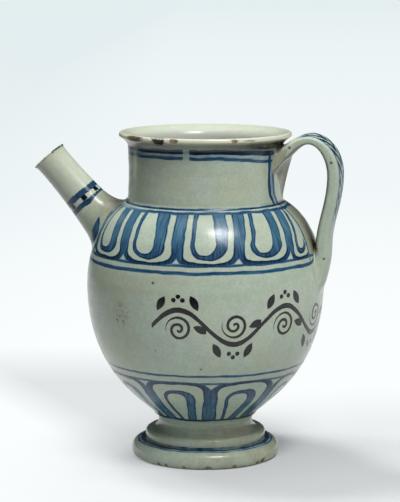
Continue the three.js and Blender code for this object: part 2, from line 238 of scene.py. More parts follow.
def crossing(path: Path, lines: int, wall: Wall, sink: float, inside: float, outside: float) -> np.ndarray:
    """Find where lines along a limb go into a turned wall.

    Args:
        path: gives one point of each line for its distance along the limb.
        lines: how many lines there are.
        wall: the wall's radius by angle and height.
        sink: how far under the wall's surface to stop, in mm.
        inside: a distance along the limb at which every line is inside the wall.
        outside: a distance at which every line is outside it.

    Returns:
        The distance along the limb for each line, in mm.
    """
    low = np.full(lines, inside, float)
    high = np.full(lines, outside, float)
    for _ in range(40):
        middle = (low + high) / 2
        point = path(middle)
        radius = np.hypot(point[:, 0], point[:, 1])
        within = radius < wall(turn_of(point), point[:, 2]) - sink
        low = np.where(within, middle, low)
        high = np.where(within, high, middle)
    return (low + high) / 2


def skinned(name: str, rings: Points, marks: Marks, axis_x: float, looped: bool = True) -> Piece:
    """Skin rings of points into one closed, smooth piece.

    Args:
        name: the piece's name.
        rings: points in mm from the jug's axis, as an array (rings, points in a ring, 3).
        marks: values at the points by name, each an array (rings, points in a ring).
        axis_x: the axis's place along X in mm.
        looped: whether the last ring joins the first; otherwise each end ring is closed at its middle.

    Returns:
        The piece, placed in the row frame.
    """
    if not looped:
        middles = [ring.mean(axis=0)[None, None] for ring in (rings[0], rings[-1])]
        first, last = (np.repeat(middle, rings.shape[1], axis=1) for middle in middles)
        rings = np.concatenate([first, rings, last])
        marks = {mark: np.concatenate([values[:1], values, values[-1:]]) for mark, values in marks.items()}
    count, sides = rings.shape[:2]
    corners = (rings.reshape(-1, 3) + (axis_x, 0, 0)) * MM
    row = np.arange(count if looped else count - 1)[:, None] * sides
    column = np.arange(sides)[None, :]
    low = (row + column).ravel()
    low_next = (row + (column + 1) % sides).ravel()
    total = count * sides
    faces = np.stack([low, low_next, (low_next + sides) % total, (low + sides) % total], axis=1)
    mesh = bpy.data.meshes.new(name)
    mesh.from_pydata(corners.tolist(), [], faces.tolist())
    for mark, values in marks.items():
        layer = mesh.attributes.new(mark, "FLOAT", "POINT")
        layer.data.foreach_set("value", values.astype(np.float32).ravel())
    work = bmesh.new()
    work.from_mesh(mesh)
    bmesh.ops.remove_doubles(work, verts=work.verts, dist=WELD)
    bmesh.ops.recalc_face_normals(work, faces=work.faces)
    work.to_mesh(mesh)
    work.free()
    mesh.shade_smooth()
    piece = bpy.data.objects.new(name, mesh)
    bpy.context.scene.collection.objects.link(piece)
    return piece


def turned(outline: Points, sides: int) -> Points:
    """Turn an outline on the jug's axis with the slight unevenness of the wheel.

    Args:
        outline: (radius, height) points in mm.
        sides: how many points go round.

    Returns:
        Rings of points, as an array (points in the outline, sides, 3).
    """
    turn = np.linspace(-math.pi, math.pi, sides, endpoint=False)[None, :]
    height = outline[:, 1][:, None] * np.ones_like(turn)
    radius = outline[:, 0][:, None] - hand_thrown(turn, height)
    return np.stack([radius * np.cos(turn), radius * np.sin(turn), height], axis=2)


def hand_over(piece: Piece, material: Fired, slot: Slot, node: str) -> None:
    """Let a finished piece ride on the jug's body in place of its solid.

    Args:
        piece: the finished piece.
        material: its fired coat.
        slot: the record's material slot; it is not used.
        node: the solid that it stands for.
    """
    piece.data.materials.append(material)
    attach(piece, BODY)
    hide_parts(node)
    LOG.info("%s: %d faces, for %s", piece.name, len(piece.data.polygons), node)


@dataclass(frozen=True)
class Layout:
    """Places that the pieces share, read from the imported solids, in mm."""

    axis_x: float
    belly_base: float
    belly_top: float
    belly_radius: float
    rim: float
    lip_radius: float
    disc_radius: float

    @classmethod
    def from_frame(cls) -> "Layout":
        """Read the layout from the solids' boxes.

        Returns:
            The layout.
        """
        neck_low, neck_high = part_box("neck")
        belly_low, belly_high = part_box("belly")
        _, foot_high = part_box("foot")
        return cls(
            axis_x=(neck_low.x + neck_high.x) / 2 / MM,
            belly_base=belly_low.z / MM,
            belly_top=belly_high.z / MM,
            belly_radius=belly_high.y / MM,
            rim=neck_high.z / MM,
            lip_radius=neck_high.y / MM,
            disc_radius=foot_high.y / MM,
        )


@dataclass(frozen=True)
class Chip:
    """A bite out of an edge: its angle round the jug in degrees, its length and its depth in mm."""

    turn: float
    length: float
    depth: float

    def bite(self, rings: Points, edge: Pair, heart: Pair) -> tuple[Points, Points, Points]:
        """Push the points of an edge in.

        Args:
            rings: the turned points, as an array (rings, sides, 3).
            edge: the edge's (radius, height).
            heart: the (radius, height) inside the wall that the points are pushed towards.

        Returns:
            The bitten points, how far each lies in the bite, from 0 to 1, and how deep it was dug in mm.
        """
        turn = turn_of(rings)
        radius = np.hypot(rings[..., 0], rings[..., 1])
        height = rings[..., 2]
        gap = (turn - math.radians(self.turn) + math.pi) % (2 * math.pi) - math.pi
        arc = gap * edge[0]
        off = np.hypot(radius - edge[0], height - edge[1])
        # Two waves of unlike lengths make the bite's border ragged.
        ragged = 1 + 0.3 * np.sin(2.9 * arc + 1.7 * self.turn) + 0.2 * np.sin(5.3 * arc + 2.1 * off)
        share = np.clip(1 - ((2 * arc / self.length) ** 2 + (off / (1.8 * self.depth)) ** 2) * ragged, 0, 1)
        to_heart = np.stack([heart[0] - radius, heart[1] - height], axis=-1)
        step = to_heart / np.maximum(np.linalg.norm(to_heart, axis=-1), 0.1)[..., None]
        push = self.depth * np.sqrt(share)
        radius = radius + push * step[..., 0]
        height = height + push * step[..., 1]
        bitten = np.stack([radius * np.cos(turn), radius * np.sin(turn), height], axis=-1)
        return bitten, smooth_step(share, 0.0, 0.12), push


def chipped(
    rings: Points, chips: tuple[Chip, ...], edge: Pair, heart: Pair
) -> tuple[Points, Marks]:
    """Bite chips out of an edge.

    Args:
        rings: the turned points, as an array (rings, sides, 3).
        chips: the chips.
        edge: the edge's (radius, height).
        heart: the (radius, height) inside the wall that the points are pushed towards.

    Returns:
        The bitten points, and their marks: how bare and how deeply dug each is.
    """
    marks = {"bare": np.zeros(rings.shape[:2]), "dug": np.zeros(rings.shape[:2])}
    for chip in chips:
        rings, bare, dug = chip.bite(rings, edge, heart)
        marks = {"bare": np.maximum(marks["bare"], bare), "dug": np.maximum(marks["dug"], dug)}
    return rings, marks


class Coat:
    """The fired coat on one piece: a material whose nodes know their place on the jug in mm."""

    def __init__(self, name: str, layout: Layout) -> None:
        """Start the coat.

        Args:
            name: the material's name.
            layout: where the jug's axis stands.
        """
        self.material = bpy.data.materials.new(name)
        self.material.use_nodes = True
        self.tree = self.material.node_tree
        self.tree.nodes.clear()
        spot = self.add("TexCoord").outputs["Object"]
        to_axis = (-layout.axis_x, 0.0, 0.0)
        self.place = self.add("VectorMath.MULTIPLY_ADD", spot, (1 / MM,) * 3, to_axis)
        parts = self.add("SeparateXYZ", self.place)
        self.height = parts.outputs["Z"]
        angle = self.add("Math.ARCTAN2", parts.outputs["Y"], parts.outputs["X"])
        self.turn = self.add("Math.DEGREES", angle)
        self.aside = self.add("Math.ABSOLUTE", self.turn)
        level = self.add("VectorMath.MULTIPLY", self.place, (1.0, 1.0, 0.0))
        self.radius = self.add("VectorMath.LENGTH", level).outputs["Value"]
        arc = self.add(TIMES, angle, layout.belly_radius)
        self.spread = self.add("CombineXYZ", arc, self.height)

    def add(
        self, kind: str, *inputs: object, named: dict[str, object] | None = None, **settings: object
    ) -> Node:
        """Add a node with its settings and links.

        Args:
            kind: the node's type, without Blender's "ShaderNode"; a dot and its operation may follow.
            *inputs: what goes into its sockets in order: a node for its first output, a socket, a number,
                vector or colour, or None to leave the socket as it is.
            named: what goes into further sockets, by their names.
            **settings: the node's own properties.

        Returns:
            The new node.
        """
        kind, _, operation = kind.partition(".")
        made = self.tree.nodes.new("ShaderNode" + kind)
        if operation:
            made.operation = operation
        for name, value in settings.items():
            setattr(made, name, value)
        further = [(made.inputs[name], value) for name, value in (named or {}).items()]
        for socket, value in [*zip(made.inputs, inputs), *further]:
            source = value.outputs[0] if isinstance(value, Node) else value
            if isinstance(source, bpy.types.NodeSocket):
                self.tree.links.new(source, socket)
            elif source is not None:
                socket.default_value = source
        return made

    def patch(self, *limits: tuple[object, ...]) -> Node:
        """Bound a patch of the coat.

        Args:
            *limits: for each bound what is measured, where the patch starts and where it is full, and its
                depths there if they aren't 0 and 1.

        Returns:
            The patch's depth.
        """
        depth, *others = [self.add("MapRange", *limit) for limit in limits]
        for other in others:
            depth = self.add(TIMES, depth, other)
        return depth


@dataclass(frozen=True)
class TinGlaze:
    """Tin glaze fired on thrown earthenware: opaque, pale grey-green and glossy like wet milk.

    It clouds where it lies thicker, warms where the clay shows through, and has a fine grain, burst bubbles
    and iron specks. Where it is knocked off, the brown clay below is rough and matt. Its real grain is about
    half a millimetre; it is drawn three times as coarse, so that it shows.
    """

    thick: str = "#B2C1B1"
    thin: str = "#B6BCA3"
    shaded: str = "#A2AC9B"
    speck: str = "#41362C"
    # The grime and soot tones serve for real dirt and also for painted shade in creases, under the lip and by
    # the handle.
    grime_and_shade: str = "#6E6248"
    soot_and_shade: str = "#2B241B"
    blackest_from: float = 0.55
    worn: str = "#D0CFBA"
    lining: str = "#B4B6AC"
    clay: str = "#9C8A6E"
    clay_dark: str = "#2B241C"
    ior: float = 1.5
    gloss: float = 0.17
    worn_gloss: float = 0.3
    clay_roughness: float = 0.85
    cloud_mm: float = 34.0
    mottle_mm: float = 7.0
    grain_mm: float = 1.7
    speck_spacing_mm: float = 19.0
    speck_mm: float = 0.95
    speck_share: float = 0.45
    burst_mm: float = 1.3
    pit_spacing_mm: float = 5.5
    pit_mm: float = 0.4
    pit_share: float = 0.2
    ripple_mm: float = 11.0
    ripple_depth_mm: float = 0.03
    grit_mm: float = 1.1

    def ground(self, coat: Coat) -> Node:
        """Lay the unpainted glaze.

        Args:
            coat: the coat.

        Returns:
            Its colour.
        """
        add = coat.add
        cloud = add("TexNoise", coat.place, None, 1 / self.cloud_mm, 3.0, 0.6)
        warm = add("MapRange", cloud, 0.42, 0.68, 0.0, 0.85, interpolation_type="SMOOTHSTEP")
        colour = add("MixRGB", warm, linear(self.thick), linear(self.thin))
        mottle = add("TexNoise", coat.place, None, 1 / self.mottle_mm, 4.0, 0.7)
        shade = add("MapRange", mottle, 0.45, 0.75, 0.0, 0.8)
        colour = add("MixRGB", shade, colour, linear(self.shaded))
        grain = add("TexNoise", coat.place, None, 1 / self.grain_mm, 2.0, 0.6)
        grain = add("MapRange", grain, 0.36, 0.66, 0.0, 0.6)
        colour = add("MixRGB", grain, colour, linear(self.shaded))
        for spacing, size, share in (
            (self.speck_spacing_mm, self.speck_mm, self.speck_share),
            (self.pit_spacing_mm, self.pit_mm, self.pit_share),
        ):
            cells = add("TexVoronoi", coat.place, None, 1 / spacing)
            chance = add("SeparateColor", cells.outputs["Color"])
            chosen = add("Math.LESS_THAN", chance.outputs["Red"], share)
            reach = add(TIMES, chance.outputs["Green"], size / spacing)
            dot = add("MapRange", cells.outputs["Distance"], reach, 0.0, 0.0, 0.85)
            mask = add(TIMES, dot, chosen)
            colour = add("MixRGB", mask, colour, linear(self.speck))
        return colour

    def soiled_and_shaded(self, coat: Coat, colour: Node, mask: Node, least: float = 0.25) -> Node:
        """Lay a dark layer over a colour, darker where there is more of it: ingrained dirt at some places and
        painted shade at others.

        Args:
            coat: the coat.
            colour: the colour below.
            mask: how much dirt and painted shade a place takes, from 0 to 1.
            least: the share of the dark layer where it lies thinnest, from 0 for patchy to 1 for even.

        Returns:
            The darkened colour.
        """
        patchy = coat.add("TexNoise", coat.place, None, 1 / self.mottle_mm, 4.0, 0.65)
        amount = coat.add("MapRange", patchy, 0.3, 0.65, least, 1.0)
        amount = coat.add(TIMES, amount, mask)
        black = coat.add("MapRange", mask, self.blackest_from, 1.0)
        dirt_and_shade = coat.add("MixRGB", black, linear(self.grime_and_shade), linear(self.soot_and_shade))
        return coat.add("MixRGB", amount, colour, dirt_and_shade)

    def burst(self, coat: Coat, colour: Node, places: tuple[Triple, ...]) -> Node:
        """Open burst bubbles in the glaze.

        Args:
            coat: the coat.
            colour: the colour round them.
            places: their places in mm from the jug's axis.

        Returns:
            The pitted colour.
        """
        for place in places:
            away = coat.add("VectorMath.DISTANCE", coat.place, place).outputs["Value"]
            pit = coat.add("MapRange", away, self.burst_mm, self.burst_mm * 0.4, 0.0, 0.9)
            colour = coat.add("MixRGB", pit, colour, linear(self.speck))
        return colour

    def fire(self, coat: Coat, colour: Node, bare: Node | None = None) -> Fired:
        """Finish a coat with the glaze's gloss, its ripple and any bare clay.

        Args:
            coat: the coat to finish.
            colour: its painted colour.
            bare: how far the clay lies bare, from 0 to 1.

        Returns:
            The finished material.
        """
        add = coat.add
        wear = add("TexNoise", coat.place, None, 1 / self.mottle_mm, 2.0, 0.5)
        rough = add("MapRange", wear, 0.3, 0.8, self.gloss, self.worn_gloss)
        relief = add("TexNoise", coat.place, None, 1 / self.ripple_mm, 2.0, 0.45)
        if bare is not None:
            grit = add("TexNoise", coat.place, None, 1 / self.grit_mm, 3.0, 0.7)
            dark = add("MapRange", grit, 0.42, 0.58, 0.0, 0.8)
            # Deeper chips turn to the dark clay tone: dirt in them and painted shade in their hollows.
            dug = add("Attribute", attribute_name="dug").outputs["Fac"]
            dark = add("Math", dark, add("MapRange", dug, 0.8, 2.2), use_clamp=True)
            clay = add("MixRGB", dark, linear(self.clay), linear(self.clay_dark))
            colour = add("MixRGB", bare, colour, clay)
            rough = add("MapRange", bare, 0.0, 1.0, rough, self.clay_roughness)
        bump = add("Bump", named={"Distance": self.ripple_depth_mm * MM, "Height": relief})
        shader = add("BsdfPrincipled", colour, None, rough, self.ior, named={"Normal": bump})
        add("OutputMaterial", shader)
        return coat.material


@dataclass(frozen=True)
class Pigment:
    """A metal oxide brushed on raw glaze, which sinks in on firing: pale where thin, dark where it pools."""

    tones: tuple[str, ...]
    soft_mm: float = 0.45
    sway_mm: float = 0.7
    sway_length_mm: float = 13.0
    full_cover: float = 0.3

    def sway(self, coat: Coat) -> Node:
        """Return the wander of a hand-held brush, in mm either way."""
        drift = coat.add("TexNoise", coat.place, None, 1 / self.sway_length_mm, 2.0, 0.5)
        return coat.add("MapRange", drift, 0.25, 0.75, -self.sway_mm, self.sway_mm)

    def streaks(self, coat: Coat, along: Along) -> Node:
        """Return the bristle streaks of strokes that run one way, about 0 to 1."""
        drawn = coat.add("VectorMath.MULTIPLY", coat.spread, along.value)
        return coat.add("TexNoise", drawn, None, 1.0, 3.0, 0.65)

    def within(self, coat: Coat, value: object, limit: object, rising: bool = False) -> Node:
        """Return a soft brush edge.

        Args:
            coat: the coat.
            value: the distance that is compared, in mm.
            limit: where the edge lies, in mm.
            rising: whether the paint lies above the limit, and not below it.

        Returns:
            1 where there is paint and 0 where there is none.
        """
        past = coat.add("Math.SUBTRACT", value, limit)
        ends = (0.0, 1.0) if rising else (1.0, 0.0)
        return coat.add("MapRange", past, -self.soft_mm, self.soft_mm, *ends, interpolation_type="SMOOTHSTEP")

    def between(self, coat: Coat, value: object, low: object, high: object) -> Node:
        """Return 1 where a value lies between two brush edges and 0 elsewhere.

        Args:
            coat: the coat.
            value: the distance that is compared, in mm.
            low: the lower edge, in mm.
            high: the upper edge, in mm.

        Returns:
            The cover.
        """
        above = self.within(coat, value, low, rising=True)
        return coat.add(TIMES, above, self.within(coat, value, high))

    def line(self, coat: Coat, off: object, width: float, load: float, streak: object) -> Node:
        """Draw a line of uneven breadth.

        Args:
            coat: the coat.
            off: the distance from the line's middle, in mm.
            width: its breadth, in mm.
            load: how deep its pigment lies, from 0 to 1.
            streak: the bristle streaks.

        Returns:
            The depth of its pigment.
        """
        away = coat.add("Math.ABSOLUTE", off)
        reach = coat.add("MapRange", streak, 0.2, 0.8, width * 0.36, width * 0.62)
        amount = coat.add("MapRange", streak, 0.25, 0.75, load - 0.22, load + 0.18)
        return coat.add(TIMES, self.within(coat, away, reach), amount, use_clamp=True)

    def over(self, coat: Coat, colour: Node, depths: list[Node]) -> Node:
        """Lay the pigment over a colour.

        Args:
            coat: the coat.
            colour: the colour below.
            depths: nodes that each give how deep the pigment lies, from 0 to 1.

        Returns:
            The painted colour.
        """
        deepest = depths[0]
        for depth in depths[1:]:
            deepest = coat.add("Math.MAXIMUM", deepest, depth)
        ramp = coat.add("ValToRGB", deepest)
        stops = ramp.color_ramp.elements
        while len(stops) < len(self.tones):
            stops.new(0.5)
        for place, (stop, tone) in enumerate(zip(stops, self.tones)):
            stop.position = place / (len(self.tones) - 1)
            stop.color = linear(tone)
        cover = coat.add("MapRange", deepest, 0.03, self.full_cover)
        return coat.add("MixRGB", cover, colour, ramp)


@dataclass(frozen=True)
class CobaltBlue(Pigment):
    """Cobalt: a clear grey-blue in a wash, navy where the brush stops and the colour pools."""

    tones: tuple[str, ...] = ("#A2B4B3", "#6D909E", "#436B82", "#264868", "#121F2E")


@dataclass(frozen=True)
class ManganeseBlack(Pigment):
    """Manganese: a purplish black drawn with a fine brush, sharp and grainy."""

    tones: tuple[str, ...] = ("#565052", "#242023", "#0E0D11")
    soft_mm: float = 0.25
    sway_mm: float = 0.4
    full_cover: float = 0.5


@dataclass(frozen=True)
class Palette:
    """What the potter dips and paints with."""

    glaze: TinGlaze = TinGlaze()
    cobalt: CobaltBlue = CobaltBlue()
    black: ManganeseBlack = ManganeseBlack()


@dataclass(frozen=True)
class RingLine:
    """A line that the brush draws while the jug turns; it may rise by the handle or run dry by the spout."""

    height: float
    width: float
    load: float
    lift: float = 0.0
    lift_turns: Pair = (19.0, 6.0)
    dry: float = 0.0
    dry_turns: Pair = (118.0, 146.0)
    wander: float = 0.6

    def depth(self, coat: Coat, cobalt: CobaltBlue, sway: Node, streak: Node) -> Node:
        """Draw the line.

        Args:
            coat: the coat.
            cobalt: the pigment.
            sway: the brush's wander in mm.
            streak: the bristle streaks.

        Returns:
            The depth of its pigment.
        """
        off = coat.add("Math.SUBTRACT", coat.height, self.level(coat, sway))
        wet = coat.add("MapRange", coat.aside, *self.dry_turns, 1.0, 1.0 - self.dry)
        return coat.add(TIMES, cobalt.line(coat, off, self.width, self.load, streak), wet)

    def level(self, coat: Coat, sway: Node) -> Node:
        """Find the line's height, with the brush's wander.

        Args:
            coat: the coat.
            sway: the brush's wander in mm.

        Returns:
            The height in mm.
        """
        limits = (*self.lift_turns, 0.0, self.lift)
        raised = coat.add("MapRange", coat.aside, *limits, interpolation_type="SMOOTHSTEP")
        raised = coat.add("Math", raised, self.height)
        return coat.add("Math.MULTIPLY_ADD", sway, self.wander, raised)


@dataclass(frozen=True)
class PetalBand:
    """A band of petals with rounded ends, each with a smaller one drawn inside it.

    Broad stems part the petals and split at the tips into a scalloped line. Inside each petal the brush goes
    down in a thin line and comes back up in a broad one. Angles are degrees and sizes mm; the margin between
    the two petals is a share of half the pitch.
    """

    growth: Growth
    first_stem: float
    pitch: float
    petals: int
    start_pitch: float
    end_pitch: float
    tip: float
    root: float
    stem: float
    tip_rise: float
    scallop: float
    margin: float
    tip_margin: float
    thin: float
    broad: float
    loop_rise: float
    squareness: float = 3.4
    roundness: float = 2.2
    lean: float = 0.0
    lean_from: float = -90.0
    bare_sector: float = 0.0
    body: Pair = (0.36, 0.76)
    edging: float = 0.34
    wander: float = 0.9
    stem_lap: float = 1.2
    hollow_gain: float = 1.25
    hollow_share: float = 0.85
    pool: float = 0.3
    pool_reach: float = 1.6

    def depth(self, coat: Coat, cobalt: CobaltBlue, sway: Node) -> Node:
        """Draw the band.

        Args:
            coat: the coat.
            cobalt: the pigment.
            sway: the brush's wander in mm.

        Returns:
            The depth of its pigment.
        """
        add = coat.add
        last_stem = self.first_stem - self.pitch * self.petals
        low_end = last_stem - self.end_pitch
        climb = add("MapRange", coat.height, self.tip, self.root, 0.0, -self.lean)
        side = add("Math.MULTIPLY_ADD", coat.turn, math.radians(1), -math.radians(self.lean_from))
        leant = add("Math.MULTIPLY_ADD", add("Math.SINE", side), climb, coat.turn)
        wander = add("Math.MULTIPLY_ADD", sway, self.wander, leant)
        turn = add("Math.WRAP", wander, low_end + 360, low_end)
        middle = add("MapRange", turn, last_stem, self.first_stem, -self.petals, 0.0)
        near_end = add("MapRange", turn, self.first_stem, self.first_stem + self.start_pitch, 0.0, 1.0)
        far_end = add("MapRange", turn, low_end, last_stem, -1.0, 0.0)
        count = add("Math", add("Math", middle, near_end), far_end)
        share = add("Math.FRACT", count)
        at_near = add("Math.GREATER_THAN", turn, self.first_stem)
        at_far = add("Math.LESS_THAN", turn, last_stem)
        whole = add("MapRange", at_near, 0.0, 1.0, self.pitch, self.start_pitch)
        whole = add("MapRange", at_far, 0.0, 1.0, whole, self.end_pitch)
        half = add(TIMES, add(TIMES, whole, math.radians(0.5)), coat.radius)
        signed = add("Math.MULTIPLY_ADD", share, 2.0, -1.0)
        across = add(TIMES, signed, half)
        above_tip = add("Math.SUBTRACT", coat.height, self.tip)
        above_tip = add("Math.MULTIPLY_ADD", above_tip, float(self.growth.value), sway)

        petal = add("Math.SUBTRACT", half, self.stem / 2)
        edge = self.beyond(coat, across, above_tip, petal, self.tip_rise, self.squareness)
        narrowing = (self.tip_rise, self.tip_rise * 0.1, self.stem / 2 + self.stem_lap, self.scallop)
        line = add("MapRange", above_tip, *narrowing)
        outer = cobalt.between(coat, edge, 0.0, line)

        loop = add("Math.MULTIPLY_ADD", half, -self.margin, petal)
        above_loop = add("Math.SUBTRACT", above_tip, self.tip_margin)
        loop_edge = self.beyond(coat, across, above_loop, loop, self.loop_rise, self.roundness)
        broad = add("MapRange", at_near, 0.0, 1.0, self.broad, self.thin)
        shift = add("Math.MULTIPLY_ADD", add("Math.SUBTRACT", broad, self.thin), 0.5, across)
        strokes = add(TIMES, add("Math", broad, self.thin), 0.5)
        hollow = add("Math.SUBTRACT", loop, strokes)
        above_hollow = add("Math.SUBTRACT", above_loop, self.thin * self.hollow_gain)
        hollow_rise = self.loop_rise * self.hollow_share
        hollow_edge = self.beyond(coat, shift, above_hollow, hollow, hollow_rise, self.roundness)
        in_loop = cobalt.within(coat, loop_edge, 0.0)
        inner = add(TIMES, in_loop, cobalt.within(coat, hollow_edge, 0.0, rising=True))

        streak = cobalt.streaks(coat, Along.UPRIGHT)
        body = add("MapRange", streak, 0.32, 0.68, *self.body)
        pool = add("MapRange", above_tip, self.tip_rise * self.pool_reach, 0.0, 0.0, self.pool)
        load = add("Math", body, pool)
        rims = [add("Math.ABSOLUTE", outline) for outline in (edge, loop_edge, hollow_edge)]
        rim = add("Math.MINIMUM", add("Math.MINIMUM", *rims[:2]), rims[2])
        rim = add("MapRange", rim, 0.35, 1.0, self.edging, 0.0)
        cover = add("Math.MAXIMUM", outer, inner)
        depth = add(TIMES, cover, add("Math", load, rim), use_clamp=True)

        low, high = sorted((self.tip - self.growth.value * self.scallop, self.root))
        depth = add(TIMES, depth, cobalt.between(coat, coat.height, low, high))
        if self.bare_sector:
            outside = add("MapRange", coat.aside, self.bare_sector - 0.4, self.bare_sector + 0.4)
            depth = add(TIMES, depth, outside)
        return depth

    def beyond(self, coat: Coat, across: Node, above: Node, half: Node, rise: float, power: float) -> Node:
        """Say how far a place lies outside the outline of a petal or a loop.

        Args:
            coat: the coat.
            across: the distance from its middle line, in mm.
            above: the distance from its tip towards its root, in mm.
            half: half its breadth, in mm.
            rise: how tall its rounded tip is, in mm.
            power: how square its tip is; 2 is round.

        Returns:
            The distance in mm.
        """
        add = coat.add
        fall = add("Math.MAXIMUM", add("Math.SUBTRACT", rise, above), 0.0)
        side = add("Math.DIVIDE", add("Math.ABSOLUTE", across), half)
        side = add("Math.POWER", side, power)
        end = add("Math.POWER", add(TIMES, fall, 1 / rise), power)
        share = add("Math.POWER", add("Math", side, end), 1 / power)
        scale = add("MapRange", fall, 0.0, rise, half, rise)
        return add(TIMES, add("Math.SUBTRACT", share, 1.0), scale)


@dataclass(frozen=True)
class PenVine:
    """A running vine in fine black penwork: a waving stem, a coiled tendril in each bend, leaves and dots."""

    middle: float = 101.0
    bends: int = 8
    bend_length: float = 37.0
    swing: float = 11.5
    stem: float = 3.4
    coil_radius: float = 8.6
    coil_pitch: float = 4.6
    coil_line: float = 1.8
    leaf_length: float = 11.0
    leaf_breadth: float = 5.0
    dot: float = 1.5
    leaves: tuple[tuple[Pair, float], ...] = (
        ((-11.5, 15.5), 62.0),
        ((10.5, 16.0), 118.0),
        ((15.0, -1.5), -20.0),
    )
    dots: tuple[Triple, ...] = ((-3.0, 18.0, 0.0), (0.0, 20.5, 0.0), (3.0, 18.0, 0.0))
    coil_drop: float = 1.2
    reach: float = 26.0
    grain_mm: float = 1.0

    def depth(self, coat: Coat, black: ManganeseBlack, layout: Layout) -> Node:
        """Draw the vine.

        Args:
            coat: the coat.
            black: the pigment.
            layout: the belly's size.

        Returns:
            The depth of its pigment.
        """
        add = coat.add
        arc = add(TIMES, coat.turn, math.radians(1) * layout.belly_radius)
        step = add(TIMES, arc, 1 / self.bend_length)
        odd = add("Math.FLOORED_MODULO", add("Math.FLOOR", step), 2.0)
        mirror = add("Math.MULTIPLY_ADD", odd, -2.0, 1.0)
        share = add("Math.SUBTRACT", add("Math.FRACT", step), 0.5)
        x = add(TIMES, share, self.bend_length)
        y = add("Math.SUBTRACT", coat.height, self.middle)
        y = add(TIMES, add("Math", y, black.sway(coat)), mirror)
        spot = add("CombineXYZ", x, y)

        wave = add("Math.COSINE", add(TIMES, share, math.pi))
        wave = add(TIMES, wave, self.swing)
        stem_off = add("Math.ABSOLUTE", add("Math.SUBTRACT", y, wave))
        depths = [black.within(coat, stem_off, self.stem / 2), self.tendril(coat, black, spot)]
        for place, lean in self.leaves:
            depths.append(self.leaf(coat, black, spot, place, math.radians(lean)))
        for place in self.dots:
            away = add("VectorMath.DISTANCE", spot, place)
            depths.append(black.within(coat, away.outputs["Value"], self.dot))
        cover = depths[0]
        for depth in depths[1:]:
            cover = add("Math.MAXIMUM", cover, depth)

        grain = add("TexNoise", coat.place, None, 1 / self.grain_mm, 2.0, 0.6)
        cover = add(TIMES, cover, add("MapRange", grain, 0.3, 0.46, 0.4, 1.0))
        limit = self.bends / 2 * self.bend_length
        inside = black.within(coat, add("Math.ABSOLUTE", arc), limit)
        level = black.between(coat, coat.height, self.middle - self.reach, self.middle + self.reach)
        return add(TIMES, cover, add(TIMES, inside, level))

    def tendril(self, coat: Coat, black: ManganeseBlack, spot: Node) -> Node:
        """Draw the coil in one bend.

        Args:
            coat: the coat.
            black: the pigment.
            spot: the place in the bend, in mm from its middle.

        Returns:
            Its cover.
        """
        add = coat.add
        around = add("VectorMath.ADD", spot, (0.0, self.coil_drop, 0.0))
        reach = add("VectorMath.LENGTH", around).outputs["Value"]
        parts = add("SeparateXYZ", around)
        angle = add("Math.ARCTAN2", parts.outputs["Y"], parts.outputs["X"])
        turns = add(TIMES, angle, -1 / (2 * math.pi))
        coil = add("Math.MULTIPLY_ADD", reach, 1 / self.coil_pitch, turns)
        coil = add("Math.SUBTRACT", add("Math.FRACT", coil), 0.5)
        coil = add(TIMES, add("Math.ABSOLUTE", coil), self.coil_pitch)
        line = black.within(coat, coil, self.coil_line / 2)
        return add(TIMES, line, black.within(coat, reach, self.coil_radius))

    def leaf(self, coat: Coat, black: ManganeseBlack, spot: Node, place: Pair, lean: float) -> Node:
        """Draw one pointed leaf.

        Args:
            coat: the coat.
            black: the pigment.
            spot: the place in the bend, in mm from its middle.
            place: the leaf's middle.
            lean: the angle of its rib in radians.

        Returns:
            Its cover.
        """
        add = coat.add
        rib = (math.cos(lean), math.sin(lean), 0.0)
        off = add("VectorMath.SUBTRACT", spot, (*place, 0.0))
        along = add("VectorMath.DOT_PRODUCT", off, rib).outputs["Value"]
        across = add("VectorMath.DOT_PRODUCT", off, (-rib[1], rib[0], 0.0)).outputs["Value"]
        share = add(TIMES, along, 2 / self.leaf_length)
        share = add(TIMES, share, share)
        half = add("Math.MULTIPLY_ADD", share, -self.leaf_breadth / 2, self.leaf_breadth / 2)
        return black.within(coat, add("Math.ABSOLUTE", across), half)


